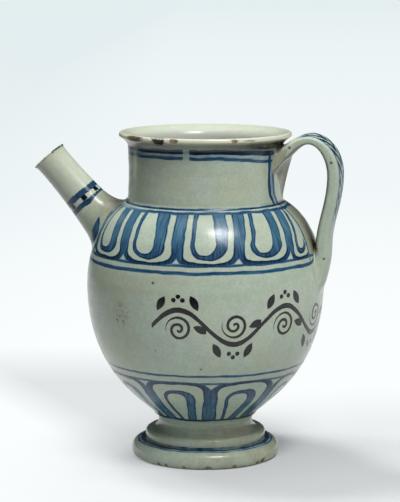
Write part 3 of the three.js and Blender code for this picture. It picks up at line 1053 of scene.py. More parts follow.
@dataclass(frozen=True)
class Foot:
    """The thrown pedestal: a rounded disc, a groove and a beaded tier under a hollowed neck."""

    layout: Layout
    sides: int = 480
    disc_edge_height: float = 5.0
    stand_inset: float = 3.2
    stand_width: float = 6.0
    groove_height: float = 11.4
    groove_depth: float = 1.2
    groove_ledge: float = 1.8
    tier_radius: float = 41.0
    tier_height: float = 15.4
    tier_top: float = 18.4
    tier_rounding: float = 3.4
    neck_height: float = 25.5
    top_radius: float = 32.0
    wall: float = 7.0
    lines: tuple[Triple, ...] = ((1.3, 3.4, 0.9), (4.3, 1.6, 0.55))
    line_wander: float = 0.7
    line_heights: Pair = (6.5, 13.0)
    shade_turns: Pair = (112.0, 70.0)
    side_shade: float = 0.38
    worn_heights: Pair = (0.2, 1.6)
    worn_mm: float = 3.0
    chips: tuple[Chip, ...] = (
        Chip(-119.0, 2.6, 0.8),
        Chip(-112.0, 2.2, 0.7),
        Chip(-97.0, 3.0, 0.7),
        Chip(-78.0, 4.6, 0.7),
        Chip(-57.0, 2.6, 0.9),
        Chip(-35.0, 2.8, 1.0),
        Chip(-29.0, 4.6, 1.4),
        Chip(40.0, 4.0, 1.3),
        Chip(118.0, 5.0, 1.4),
    )

    def outline(self) -> Points:
        """Draw the closed outline, up outside and down inside.

        Returns:
            Its (radius, height) points in mm.
        """
        disc = self.layout.disc_radius
        stand = disc - self.stand_inset
        groove = self.tier_radius - self.groove_depth
        ledge = groove + self.groove_ledge
        shelf = self.tier_radius - self.tier_rounding
        inner = self.top_radius - self.wall
        base = self.layout.belly_base
        tier, low, high = self.tier_radius, self.groove_height, self.tier_top
        return joined(
            bezier((stand, 0), (disc, 0), (disc, self.disc_edge_height), steps=16),
            bezier((disc, self.disc_edge_height), (disc, low), (ledge, low), steps=18),
            bezier((ledge, low), (groove, low), steps=4),
            bezier((groove, low), (tier, low), (tier, self.tier_height), steps=10),
            bezier((tier, self.tier_height), (tier, high), (shelf, high), steps=8),
            bezier((shelf, high), (self.top_radius, high), (self.top_radius, self.neck_height), steps=18),
            bezier((self.top_radius, self.neck_height), (self.top_radius, base), steps=4),
            bezier((inner, base), (inner, high), steps=4),
            bezier((inner, high), (stand - self.stand_width, 0), steps=10),
        )

    def build(self) -> Piece:
        """Make the foot's mesh, with the chips along its lower edge.

        Returns:
            The piece.
        """
        rings = turned(self.outline(), self.sides)
        edge = (self.layout.disc_radius - 1.0, 1.2)
        heart = (self.layout.disc_radius - 5.0, 5.0)
        return skinned("foot_glazed", *chipped(rings, self.chips, edge, heart), self.layout.axis_x)

    def dress(self, palette: Palette) -> Fired:
        """Paint the groove's two blue lines and fire the coat.

        Args:
            palette: the finishes.

        Returns:
            The fired coat.
        """
        glaze, cobalt = palette.glaze, palette.cobalt
        coat = Coat("foot_tin_glaze", self.layout)
        add = coat.add
        colour = glaze.ground(coat)
        # Painted shade darkens the foot on the handle's side.
        side_shade = add("MapRange", coat.aside, *self.shade_turns, 0.0, self.side_shade)
        colour = glaze.soiled_and_shaded(coat, colour, side_shade, least=0.5)
        sway = cobalt.sway(coat)
        streak = cobalt.streaks(coat, Along.ROUND)
        on_disc = cobalt.between(coat, coat.height, *self.line_heights)
        depths = []
        for step, width, load in self.lines:
            off = add("Math.SUBTRACT", coat.radius, self.tier_radius + step)
            off = add("Math.MULTIPLY_ADD", sway, self.line_wander, off)
            line = cobalt.line(coat, off, width, load, streak)
            depths.append(add(TIMES, line, on_disc))
        run = add("MapRange", cobalt.streaks(coat, Along.UPRIGHT), 0.63, 0.72, 0.0, 0.35)
        hollow = cobalt.between(coat, coat.height, self.tier_top, self.neck_height)
        depths.append(add(TIMES, run, hollow))
        colour = cobalt.over(coat, colour, depths)
        bare = add("Attribute", attribute_name="bare").outputs["Fac"]
        low = add("MapRange", coat.height, *self.worn_heights, 1.0, 0.0)
        grit = add("TexNoise", coat.place, None, 1 / self.worn_mm, 3.0, 0.7)
        worn = add(TIMES, low, add("MapRange", grit, 0.42, 0.55))
        return glaze.fire(coat, colour, add("Math.MAXIMUM", bare, worn))


@dataclass(frozen=True)
class Belly:
    """The thrown ball of the jug, with its floor and the spout's bore through its wall."""

    layout: Layout
    sides: int = 320
    base_radius: float = 34.5
    widest_rise: float = 88.4
    rise_angle: float = 62.0
    rise_pull: float = 9.0
    lower_pull: float = 62.7
    upper_pull: float = 12.0
    top_radius: float = 54.0
    fall_angle: float = 30.0
    shoulder_pull: float = 26.0
    wall: float = 5.5
    floor: float = 7.0
    throat: float = 46.5
    middle_spot: float = 2.0
    floor_steps: int = 14
    floor_rounding: float = 4.0
    shoulder: PetalBand = PetalBand(
        Growth.DOWN, first_stem=-33.6, pitch=30.3, petals=10, start_pitch=20.2, end_pitch=10.0, tip=142.2,
        root=171.5, stem=7.3, tip_rise=8.5, scallop=2.3, margin=0.2, tip_margin=1.8, thin=2.5, broad=7.3,
        loop_rise=9.0, lean=10.0, bare_sector=17.0,
    )
    lower: PetalBand = PetalBand(
        Growth.UP, first_stem=-34.0, pitch=42.5, petals=7, start_pitch=31.25, end_pitch=31.25, tip=60.4,
        root=30.0, stem=9.2, tip_rise=9.0, scallop=2.2, margin=0.25, tip_margin=4.4, thin=2.2, broad=5.8,
        loop_rise=9.0, body=(0.36, 0.8), edging=0.42,
    )
    rings: tuple[RingLine, ...] = (
        RingLine(140.7, 1.7, 0.75),
        RingLine(136.0, 2.2, 0.75, lift=4.0),
        RingLine(171.6, 1.5, 0.8, dry=0.7),
        RingLine(66.8, 1.5, 0.78),
        RingLine(61.6, 1.4, 0.72),
        RingLine(30.4, 1.5, 0.9),
    )
    border_heights: Pair = (138.0, 172.8)
    border_top_turn: float = 13.0
    border_width: float = 1.7
    border_load: float = 0.75
    soot_and_shade_turns: Pair = (18.0, 7.0)
    soot_and_shade_heights: Pair = (136.0, 141.0)
    soot_and_shade_fall: Pair = (166.0, 143.0)
    soot_and_shade_depths: Pair = (0.65, 1.1)
    stain: Triple = (-173.0, 105.7, 0.0)
    stain_reach: Pair = (10.0, 4.0)
    freckle_mm: float = 2.6
    bubbles: tuple[Triple, ...] = (
        (-20.7, -76.1, 129.0),
        (-11.0, -79.2, 111.0),
        (-20.0, -73.6, 84.2),
        (9.6, -70.9, 72.2),
    )

    def outside(self) -> Points:
        """Draw the outer outline, running upwards.

        Returns:
            Its (radius, height) points in mm.
        """
        base = np.array((self.base_radius, self.layout.belly_base))
        widest = self.layout.belly_base + self.widest_rise
        top = np.array((self.top_radius, self.layout.belly_top))
        rise = math.radians(self.rise_angle)
        fall = math.radians(self.fall_angle)
        leave = base + self.rise_pull * np.array((math.cos(rise), math.sin(rise)))
        reach = top + self.shoulder_pull * np.array((math.cos(fall), -math.sin(fall)))
        radius = self.layout.belly_radius
        return joined(
            bezier(tuple(base), tuple(leave), (radius, widest - self.lower_pull), (radius, widest), steps=64),
            bezier((radius, widest), (radius, widest + self.upper_pull), tuple(reach), tuple(top), steps=56),
        )

    def wall_radius(self, turn: np.ndarray, height: np.ndarray) -> np.ndarray:
        """Return the outer radius at angles in radians and heights in mm."""
        line = self.outside()
        return np.interp(height, line[:, 1], line[:, 0]) - hand_thrown(turn, height)

    def build(self, bore: Piece) -> Piece:
        """Make the belly's mesh.

        Args:
            bore: the closed mesh that is cut out for the spout; it is removed afterwards.

        Returns:
            The piece.
        """
        outside = self.outside()
        top, base = self.layout.belly_top, self.layout.belly_base
        floor, ceiling = base + self.floor, top - self.wall
        inside = moved_out(outside, -self.wall)
        narrow = (inside[:, 1] > base + self.widest_rise) & (inside[:, 0] < self.throat)
        shut = (inside[:, 1] > ceiling) | narrow
        inside = inside[(inside[:, 1] > floor + 1) & ~shut][::-1]
        low = inside[-1]
        under = bezier((self.middle_spot, base), tuple(outside[0]), steps=8)
        throat = np.array([(self.throat, top), (self.throat, ceiling)])
        corner, middle = (low[0] - self.floor_rounding, floor), (self.middle_spot, floor)
        bottom = bezier(tuple(low), corner, middle, steps=self.floor_steps)
        outline = joined(under, outside, throat, inside, bottom)
        rings = turned(outline, self.sides)
        count = len(under) + len(outside) - 1
        shown = np.where(np.arange(len(rings)) < count, 1.0, 0.0)[:, None] * np.ones(self.sides)
        piece = skinned("belly_glazed", rings, {"outside": shown}, self.layout.axis_x, looped=False)
        cut = piece.modifiers.new("bore", "BOOLEAN")
        cut.object = bore
        cut.operation = "DIFFERENCE"
        cut.solver = "EXACT"
        bpy.context.view_layer.update()
        seen = piece.evaluated_get(bpy.context.evaluated_depsgraph_get())
        mesh = bpy.data.meshes.new_from_object(seen)
        piece.modifiers.remove(cut)
        piece.data = mesh
        bpy.data.objects.remove(bore)
        return piece

    def dress(self, palette: Palette) -> Fired:
        """Paint the bands, the rings, the handle's border and the vine, and fire the coat.

        Args:
            palette: the finishes.

        Returns:
            The fired coat.
        """
        glaze, cobalt = palette.glaze, palette.cobalt
        coat = Coat("belly_tin_glaze", self.layout)
        add = coat.add
        colour = glaze.burst(coat, glaze.ground(coat), self.bubbles)
        # Soot and painted shade darken the shoulder under the strap where it comes down by the handle.
        fall = (coat.height, *self.soot_and_shade_fall, *self.soot_and_shade_depths)
        soot_and_shade = coat.patch((coat.aside, *self.soot_and_shade_turns), (coat.height, *self.soot_and_shade_heights), fall)
        colour = glaze.soiled_and_shaded(coat, colour, soot_and_shade, least=0.75)
        spot = add("VectorMath.DISTANCE", coat.spread, self.stain).outputs["Value"]
        grains = add("TexNoise", coat.place, None, 1 / self.freckle_mm, 2.0, 0.5)
        freckle = add("MapRange", grains, 0.5, 0.62, 0.15, 0.85)
        freckle = add(TIMES, freckle, add("MapRange", spot, *self.stain_reach))
        colour = glaze.soiled_and_shaded(coat, colour, freckle, least=0.8)
        sway = cobalt.sway(coat)
        streak = cobalt.streaks(coat, Along.ROUND)
        depths = [band.depth(coat, cobalt, sway) for band in (self.shoulder, self.lower)]
        depths += [ring.depth(coat, cobalt, sway, streak) for ring in self.rings]
        depths.append(self.border(coat, cobalt, sway, streak))
        outside = add("Attribute", attribute_name="outside").outputs["Fac"]
        colour = cobalt.over(coat, colour, [add(TIMES, depth, outside) for depth in depths])
        vine = add(TIMES, PenVine().depth(coat, palette.black, self.layout), outside)
        return glaze.fire(coat, palette.black.over(coat, colour, [vine]))

    def border(self, coat: Coat, cobalt: CobaltBlue, sway: Node, streak: Node) -> Node:
        """Draw the line that closes the shoulder's band on each side of the handle.

        Args:
            coat: the coat.
            cobalt: the pigment.
            sway: the brush's wander in mm.
            streak: the bristle streaks.

        Returns:
            The depth of its pigment.
        """
        start, _ = self.border_heights
        ends = (self.shoulder.bare_sector, self.border_top_turn)
        lean = coat.add("MapRange", coat.height, *self.border_heights, *ends)
        away = coat.add("Math.SUBTRACT", coat.aside, lean)
        away = coat.add(TIMES, away, coat.radius)
        off = coat.add("Math.MULTIPLY_ADD", away, math.radians(1), sway)
        line = cobalt.line(coat, off, self.border_width, self.border_load, streak)
        return coat.add(TIMES, line, cobalt.within(coat, coat.height, start, rising=True))


@dataclass(frozen=True)
class Neck:
    """The wide, slightly waisted collar with its everted lip."""

    layout: Layout
    sides: int = 512
    radius: float = 51.5
    base_flare: float = 1.1
    top_flare: float = 0.5
    waist_rise: float = 22.0
    wall: float = 5.0
    lip_edge_drop: float = 2.6
    lip_underside_drop: float = 6.4
    lip_corner: float = 3.0
    lip_crest: float = 2.0
    lip_throat_drop: float = 9.0
    top_line: RingLine = RingLine(211.0, 3.2, 1.0, lift=-2.4, lift_turns=(76.0, 24.0))
    low_line: RingLine = RingLine(206.7, 2.2, 0.75, lift=-3.4, lift_turns=(76.0, 24.0))
    frame_turns: Pair = (19.2, 24.8)
    frame_widths: Pair = (2.6, 3.0)
    frame_loads: Pair = (0.8, 0.85)
    frame_start: float = 0.6
    frame_overlap: float = 0.5
    break_turn: float = -94.0
    break_widths: Pair = (2.0, 3.0)
    curl: float = 5.0
    curl_rise: float = 9.0
    shade_turns: Pair = (84.0, 36.0)
    spout_side_shade_turns: Pair = (98.0, 128.0)
    chips: tuple[Chip, ...] = (
        Chip(-134.6, 17.0, 1.3),
        Chip(-113.2, 10.0, 2.6),
        Chip(-101.5, 6.0, 1.0),
        Chip(-60.6, 4.5, 0.9),
        Chip(-50.0, 12.0, 0.35),
        Chip(62.0, 6.0, 1.2),
        Chip(150.0, 9.0, 1.0),
    )

    def outside(self) -> Points:
        """Draw the outer outline, running upwards to the lip's crest.

        Returns:
            Its (radius, height) points in mm.
        """
        base, rim, lip = self.layout.belly_top, self.layout.rim, self.layout.lip_radius
        waist = base + self.waist_rise
        under = rim - self.lip_underside_drop
        edge = rim - self.lip_edge_drop
        top = self.radius + self.top_flare
        low = (self.radius + self.base_flare, base)
        return joined(
            bezier(low, (self.radius, (base + waist) / 2), (self.radius, waist), steps=16),
            bezier((self.radius, waist), (top, under - self.lip_corner), steps=10),
            bezier((top, under - self.lip_corner), (top, under), (lip, edge), steps=16),
            bezier((lip, edge), (lip, rim), (lip - self.lip_crest, rim), steps=14),
        )

    def wall_radius(self, turn: np.ndarray, height: np.ndarray) -> np.ndarray:
        """Return the outer radius at angles in radians and heights in mm."""
        line = self.outside()
        return np.interp(height, line[:, 1], line[:, 0]) - hand_thrown(turn, height)

    def build(self) -> Piece:
        """Make the neck's mesh, with the chips in its lip.

        Returns:
            The piece.
        """
        rim, lip = self.layout.rim, self.layout.lip_radius
        throat = self.radius - self.wall
        low = rim - self.lip_throat_drop
        outline = joined(
            self.outside(),
            bezier((lip - self.lip_crest, rim), (throat, rim - self.lip_edge_drop), (throat, low), steps=18),
            bezier((throat, low), (throat, self.layout.belly_top), steps=12),
        )
        rings = turned(outline, self.sides)
        edge, heart = (lip, rim - 1.6), (lip - 6.0, rim - 4.0)
        return skinned("neck_glazed", *chipped(rings, self.chips, edge, heart), self.layout.axis_x)

    def dress(self, palette: Palette) -> Fired:
        """Paint the frame of double lines round the neck's panel and fire the coat.

        Args:
            palette: the finishes.

        Returns:
            The fired coat.
        """
        glaze, cobalt = palette.glaze, palette.cobalt
        coat = Coat("neck_tin_glaze", self.layout)
        add = coat.add
        outer_face = cobalt.within(coat, coat.radius, self.radius - 2.0, rising=True)
        colour = self.weathered_and_shaded(coat, glaze, outer_face)
        sway = cobalt.sway(coat)
        streak = cobalt.streaks(coat, Along.ROUND)
        top, low = self.top_line, self.low_line
        depths = [line.depth(coat, cobalt, sway, streak) for line in (top, low)]
        wash = add("MapRange", streak, 0.3, 0.7, 0.08, 0.34)
        band = cobalt.between(coat, coat.height, low.level(coat, sway), top.level(coat, sway))
        depths.append(add(TIMES, band, wash))
        gap = add("Math.ABSOLUTE", add("Math", coat.turn, -self.break_turn))
        unbroken = add("MapRange", gap, *self.break_widths, 0.2, 1.0)
        start = self.frame_turns[0]
        panel = add("MapRange", coat.aside, start, start + self.frame_start)
        panel = add(TIMES, panel, unbroken)
        depths = [add(TIMES, depth, panel) for depth in depths]
        below = cobalt.within(coat, coat.height, top.level(coat, sway))
        uprights = self.uprights(coat, cobalt, sway)
        depths += [add(TIMES, depth, below) for depth in uprights]
        depths = [add(TIMES, depth, outer_face) for depth in depths]
        colour = cobalt.over(coat, colour, depths)
        return glaze.fire(coat, colour, add("Attribute", attribute_name="bare").outputs["Fac"])

    def uprights(self, coat: Coat, cobalt: CobaltBlue, sway: Node) -> list[Node]:
        """Draw the two lines that close the panel beside the handle, curled apart at their feet.

        Args:
            coat: the coat.
            cobalt: the pigment.
            sway: the brush's wander in mm.

        Returns:
            The depths of the lines' pigment and of the wash between them.
        """
        add = coat.add
        streak = cobalt.streaks(coat, Along.UPRIGHT)
        foot = self.layout.belly_top
        bend = (foot + self.curl_rise, foot, 0.0, self.curl)
        curl = add("MapRange", coat.height, *bend, interpolation_type="SMOOTHSTEP")
        aside = add("Math", coat.aside, curl)
        side, inner = self.frame_turns
        depths = []
        for turn, width, load in zip(self.frame_turns, self.frame_widths, self.frame_loads):
            off = add("Math.SUBTRACT", aside, turn)
            off = add("Math.MULTIPLY_ADD", off, math.radians(1) * self.radius, sway)
            depths.append(cobalt.line(coat, off, width, load, streak))
        from_side = add("MapRange", aside, side, side + self.frame_overlap)
        to_inner = add("MapRange", aside, inner, inner + self.frame_overlap, 1.0, 0.0)
        wash = add("MapRange", streak, 0.3, 0.7, 0.12, 0.4)
        wash = add(TIMES, add(TIMES, from_side, to_inner), wash)
        return [*depths, wash]

    def weathered_and_shaded(self, coat: Coat, glaze: TinGlaze, outer_face: Node) -> Node:
        """Lay the glaze, worn to a warm cream on the lip, and darken it under the lip with soot and painted
        shade, most by the handle and on the spout's side.

        Args:
            coat: the coat.
            glaze: the glaze.
            outer_face: 1 on the outside of the neck and 0 inside it.

        Returns:
            Its colour.
        """
        add = coat.add
        rim = self.layout.rim
        colour = glaze.ground(coat)
        edge = self.layout.lip_radius
        bead = (coat.radius, edge - 4.0, edge - 1.0, 0.3, 0.85)
        crest = coat.patch((coat.height, rim - 5.0, rim - 2.5), bead)
        inside = add("MapRange", outer_face, 0.0, 1.0, 0.7, 0.0)
        colour = add("MixRGB", inside, colour, linear(glaze.lining))
        colour = add("MixRGB", crest, colour, linear(glaze.worn))
        # Under the lip the neck is darkened by soot and painted shade: half all round, more on the spout's
        # side, most by the handle.
        under = coat.patch((coat.height, rim - 10.5, rim - 8.5), (coat.height, rim - 2.8, rim - 4.6))
        near = add("MapRange", coat.aside, *self.shade_turns, 0.5, 1.0)
        near = add("Math.MAXIMUM", near, add("MapRange", coat.aside, *self.spout_side_shade_turns, 0.5, 0.85))
        mask = add(TIMES, under, near)
        return glaze.soiled_and_shaded(coat, colour, add(TIMES, mask, outer_face), least=0.8)


@dataclass(frozen=True)
class Spout:
    """The thrown pouring tube: it tapers out from the shoulder to a waist and a slightly flared mouth."""

    layout: Layout
    belly: Belly
    sides: int = 144
    root_drop: float = 15.3
    rise: float = 48.6
    root_radius: float = 15.0
    waist_radius: float = 11.35
    mouth_radius: float = 12.4
    waist: float = 50.0
    length: float = 58.5
    wall: float = 3.2
    lip_wall: float = 2.4
    lip_rounding: float = 0.4
    sink: float = 0.8
    clear_of_wall: float = 30.0
    depth: float = 16.0
    bands: Pair = (34.3, 41.3)
    band_width: float = 3.7
    band_load: float = 0.85
    block_turn: float = 360.0 / 7
    block_share: Pair = (0.14, 0.18)
    pale_and_lit: float = 0.35
    soil_start: Pair = (50.0, 62.0)
    soil: float = 0.6
    bare_edge: Pair = (1.8, 0.7)
    bare_mm: float = 6.0
    chip_reach: float = 4.0
    chip_depth: float = 1.7
    lip_run: float = 5.0
    steps: int = 48

    def axes(self) -> tuple[Points, Points, Points, Points]:
        """Find how the tube stands.

        Returns:
            The root's middle on the belly, and the unit directions out, up and across.
        """
        rise = math.radians(self.rise)
        height = self.layout.belly_top - self.root_drop
        middle = self.belly.wall_radius(np.array(math.pi), np.array(height))
        root = np.array((-float(middle), 0, height))
        out = np.array((-math.cos(rise), 0, math.sin(rise)))
        return root, out, np.array((math.sin(rise), 0, math.cos(rise))), np.array((0.0, 1.0, 0.0))

    def tube(self) -> Points:
        """Draw the outer outline, from the root to the mouth.

        Returns:
            Its (distance along, radius) points in mm.
        """
        waist = (self.waist, self.waist_radius)
        end = self.length - self.lip_rounding
        return joined(
            bezier((0.0, self.root_radius), (self.waist / 2, self.waist_radius), waist, steps=40),
            bezier(waist, (end, self.waist_radius), (end, self.mouth_radius), steps=14),
        )

    def placed(self, along: np.ndarray, radius: np.ndarray) -> Points:
        """Place points round the tube.

        Args:
            along: their distances along the tube, in mm; the last axis goes round.
            radius: their distances from its axis, in mm.

        Returns:
            The points in mm from the jug's axis.
        """
        root, out, up, across = self.axes()
        turn = np.linspace(0, 2 * math.pi, self.sides, endpoint=False)
        around = np.cos(turn)[:, None] * up + np.sin(turn)[:, None] * across
        return root + along[..., None] * out + radius[..., None] * around

    def outer(self, along: np.ndarray) -> Points:
        """Return one point of each outer line at its distance along the tube."""
        line = self.tube()
        return self.placed(along, np.interp(along, line[:, 0], line[:, 1]))

    def inner(self, along: np.ndarray) -> Points:
        """Return one point of each line of the bore at its distance along the tube."""
        line = self.tube()
        return self.placed(along, np.interp(along, line[:, 0], line[:, 1] - self.wall))

    def heart(self, along: np.ndarray) -> Points:
        """Return the tube's axis at distances along it."""
        return self.placed(along, np.zeros_like(along))

    def root(self) -> np.ndarray:
        """Return where each outer line meets the belly, as distances along the tube."""
        return crossing(self.outer, self.sides, self.belly.wall_radius, 0.0, -self.depth, self.clear_of_wall)

    def bore(self) -> Piece:
        """Make the plug that is cut out of the belly's wall.

        Returns:
            The closed plug.
        """
        along = np.array([-self.depth, self.clear_of_wall])[:, None] * np.ones(self.sides)
        rings = self.placed(along, np.full_like(along, self.root_radius - self.wall))
        return skinned("spout_bore", rings, {}, self.layout.axis_x, looped=False)

    def build(self) -> Piece:
        """Make the spout's mesh.

        Returns:
            The piece.
        """
        wall = self.belly.wall_radius
        outer_root = crossing(self.outer, self.sides, wall, self.sink, -self.depth, self.clear_of_wall)
        inner_root = crossing(self.inner, self.sides, wall, self.sink, -self.depth, self.clear_of_wall)
        share = np.linspace(0, 1, self.steps + 1)[:, None]
        lip_start = self.length - self.lip_run
        climb = outer_root * (1 - share) + lip_start * share
        fall = inner_root * share + lip_start * (1 - share)
        tube = self.tube()
        mouth, end = self.mouth_radius, self.length
        throat = mouth - self.lip_wall
        crest = mouth - 1.5 * self.lip_rounding
        lip = joined(
            tube[tube[:, 0] > lip_start + 0.2],
            bezier((end - self.lip_rounding, mouth), (end, mouth), (end, crest), steps=4),
            bezier((end, crest), (end, throat), (end - 1.0, throat), steps=8),
        )
        along = lip[:, 0][:, None] * np.ones(self.sides)
        lip_rings = self.placed(along, lip[:, 1][:, None] * np.ones(self.sides))
        rings = np.concatenate([self.outer(climb), lip_rings, self.inner(fall)])
        turn = np.linspace(0, 360, self.sides, endpoint=False)[None, :] * np.ones((len(rings), 1))
        outside = [np.ones_like(climb), np.ones_like(along), np.zeros_like(fall)]
        marks = {
            "along": self.length - np.concatenate([climb, along, fall]),
            "around": turn,
            "outside": np.concatenate(outside),
        }
        marks["dug"] = np.where(marks["along"] < self.chip_reach, self.chip_depth, 0.0)
        return skinned("spout_glazed", rings, marks, self.layout.axis_x)

    def dress(self, palette: Palette) -> Fired:
        """Paint the two bands and the blocks between them and fire the coat.

        Args:
            palette: the finishes.

        Returns:
            The fired coat.
        """
        glaze, cobalt, black = palette.glaze, palette.cobalt, palette.black
        coat = Coat("spout_tin_glaze", self.layout)
        add = coat.add
        names = ("along", "around", "outside")
        along, turn, outside = (add("Attribute", attribute_name=name).outputs["Fac"] for name in names)
        colour = glaze.ground(coat)
        # The whole spout is mixed towards the pale cream: partly a paler glaze, partly painted light.
        colour = add("MixRGB", self.pale_and_lit, colour, linear(glaze.worn))
        colour = glaze.soiled_and_shaded(coat, colour, add("MapRange", along, *self.soil_start, 0.0, self.soil))
        sway = cobalt.sway(coat)
        streak = cobalt.streaks(coat, Along.UPRIGHT)
        depths = []
        for place in self.bands:
            off = add("Math", sway, add("Math.SUBTRACT", along, place))
            line = cobalt.line(coat, off, self.band_width, self.band_load, streak)
            depths.append(add(TIMES, line, outside))
        colour = cobalt.over(coat, colour, depths)
        cell = add("Math.FRACT", add(TIMES, turn, 1 / self.block_turn))
        cell = add("Math.ABSOLUTE", add("Math.SUBTRACT", cell, 0.5))
        low, high = (place + sign * self.band_width / 2 for place, sign in zip(self.bands, (1, -1)))
        block = add("MapRange", cell, *self.block_share, 1.0, 0.0)
        block = add(TIMES, block, outside)
        block = add(TIMES, block, black.between(coat, along, low, high))
        colour = black.over(coat, colour, [block])
        edge = add("MapRange", along, *self.bare_edge)
        patch = add("TexNoise", coat.place, None, 1 / self.bare_mm, 3.0, 0.6)
        bare = add(TIMES, edge, add("MapRange", patch, 0.44, 0.52))
        return glaze.fire(coat, colour, bare)


@dataclass(frozen=True)
class Handle:
    """The pulled strap: it leaves the neck steeply, arches over and comes down on the shoulder."""

    layout: Layout
    belly: Belly
    neck: Neck
    sides: int = 72
    width: float = 31.0
    thickness: float = 9.5
    crown_thickness: float = 6.2
    crown_run: float = 16.0
    root_widening: float = 2.0
    root_run: float = 20.0
    edge_power: float = 4.0
    neck_drop: float = 23.3
    neck_sink: float = 6.2
    leave_angle: float = 52.0
    leave_pull: float = 12.5
    crown_reach: float = 19.0
    crown_drop: float = 3.8
    crown_pull: float = 7.0
    arch_pull: float = 8.5
    grip_reach: float = 36.1
    grip_drop: float = 28.0
    grip_upper_pull: float = 14.0
    grip_lower_pull: float = 18.0
    landing_drop: float = 28.0
    landing_standoff: float = 4.9
    landing_pull: float = 15.0
    end_drop: float = 68.0
    end_sink: float = 8.0
    end_lean: float = 17.0
    end_pull: float = 15.0
    sink: float = 0.8
    steps: int = 140
    neck_search: Pair = (-4.5, 19.5)
    shoulder_search: Pair = (2.0, -52.0)
    border_inset: float = 3.0
    border_width: float = 1.8
    border_load: float = 0.6
    stroke_pitch: float = 10.0
    stroke_slant: float = 1.1
    stroke_width: float = 5.4
    rubbed_gloss: float = 0.4
    painted: Pair = (26.0, 97.0)
    paint_fades: Pair = (5.0, 12.0)
    outer_face: Pair = (0.2, 0.4)
    under_face: Pair = (-0.15, -0.7)
    under_shade_and_soil: float = 0.8
    streaks_per_mm: float = 0.35
    bubbles: tuple[Triple, ...] = ((58.7, -15.8, 211.4), (86.3, -15.5, 202.0), (82.2, -15.5, 138.2))

    def middle(self) -> tuple[np.ndarray, Points, float]:
        """Draw the middle line from the neck over the crown to the shoulder.

        Returns:
            The distances along it, its (x, z) points and the crown's distance, in mm.
        """
        reach, rim, top = self.neck.radius, self.layout.rim, self.layout.belly_top
        leave = math.radians(self.leave_angle)
        start = (reach - self.neck_sink, rim - self.neck_drop)
        leaving = (start[0] + self.leave_pull * math.cos(leave), start[1] + self.leave_pull * math.sin(leave))
        crown_x, crown_z = reach + self.crown_reach, rim - self.crown_drop
        grip_x, grip_z = reach + self.grip_reach, rim - self.grip_drop
        outline = self.belly.outside()
        land_z, end_z = top - self.landing_drop, top - self.end_drop
        land_x, end_x = np.interp((land_z, end_z), outline[:, 1], outline[:, 0])
        land_x, end_x = land_x + self.landing_standoff, end_x - self.end_sink
        crown, grip, landing, end = (crown_x, crown_z), (grip_x, grip_z), (land_x, land_z), (end_x, end_z)
        lean = math.radians(self.end_lean)
        leaning = (end_x + self.end_pull * math.sin(lean), end_z + self.end_pull * math.cos(lean))
        arching, gripping = (crown_x + self.arch_pull, crown_z), (grip_x, grip_z + self.grip_upper_pull)
        falling, nearing = (grip_x, grip_z - self.grip_lower_pull), (land_x, land_z + self.landing_pull)
        rise = bezier(start, leaving, (crown_x - self.crown_pull, crown_z), crown, steps=60)
        line = joined(
            rise,
            bezier(crown, arching, gripping, grip, steps=60),
            bezier(grip, falling, nearing, landing, steps=60),
            bezier(landing, (land_x, land_z - self.end_pull), leaning, end, steps=30),
        )
        distance = np.concatenate([[0], np.cumsum(np.linalg.norm(np.diff(line, axis=0), axis=1))])
        return distance, line, float(distance[len(rise) - 1])

    def frame_at(self, along: np.ndarray) -> tuple[Points, Points]:
        """Say where the middle line runs.

        Args:
            along: distances along it, in mm; it is carried on straight past its ends.

        Returns:
            Its points, and the unit directions out of the strap's face.
        """
        distance, line, _ = self.middle()
        slope = np.gradient(line, distance, axis=0)
        slope /= np.linalg.norm(slope, axis=1)[:, None]
        x, z, dx, dz = (np.interp(along, distance, values) for values in (*line.T, *slope.T))
        past = along - np.clip(along, 0, distance[-1])
        flat = np.zeros_like(x)
        return np.stack([x + past * dx, flat, z + past * dz], axis=-1), np.stack([-dz, flat, dx], axis=-1)

    def heart(self, along: np.ndarray) -> Points:
        """Return the middle line at distances along it."""
        return self.frame_at(along)[0]

    def surface(self, along: np.ndarray) -> Points:
        """Return one point of each line along the strap at its distance.

        Args:
            along: the lines' distances, in mm; the last axis goes round the strap.

        Returns:
            The points in mm from the jug's axis.
        """
        distance, _, crown = self.middle()
        at_roots = hump(along, 0, self.root_run) + hump(along, distance[-1], self.root_run)
        width = self.width + self.root_widening * at_roots
        thinning = self.crown_thickness - self.thickness
        thickness = self.thickness + thinning * hump(along, crown, self.crown_run)
        turn = np.linspace(0, 2 * math.pi, self.sides, endpoint=False)
        power = 2 / self.edge_power
        side, face = (np.sign(wave) * np.abs(wave) ** power for wave in (np.cos(turn), np.sin(turn)))
        middle, out = self.frame_at(along)
        across = (width / 2 * side)[..., None] * np.array((0.0, 1.0, 0.0))
        return middle + across + (thickness / 2 * face)[..., None] * out

    def neck_root(self, sink: float = 0.0) -> np.ndarray:
        """Return where each line meets the neck, at a depth under its surface."""
        return crossing(self.surface, self.sides, self.neck.wall_radius, sink, *self.neck_search)

    def shoulder_root(self, sink: float = 0.0) -> np.ndarray:
        """Return where each line meets the belly, at a depth under its surface."""
        inside, outside = (self.middle()[0][-1] + offset for offset in self.shoulder_search)
        return crossing(self.surface, self.sides, self.belly.wall_radius, sink, inside, outside)

    def build(self) -> Piece:
        """Make the strap's mesh.

        Returns:
            The piece.
        """
        share = np.linspace(0, 1, self.steps + 1)[:, None]
        along = self.neck_root(self.sink) * (1 - share) + self.shoulder_root(self.sink) * share
        turn = np.linspace(0, 2 * math.pi, self.sides, endpoint=False)[None, :]
        marks = {"along": along, "face": np.sin(turn) * np.ones_like(along)}
        return skinned("handle_glazed", self.surface(along), marks, self.layout.axis_x, looped=False)

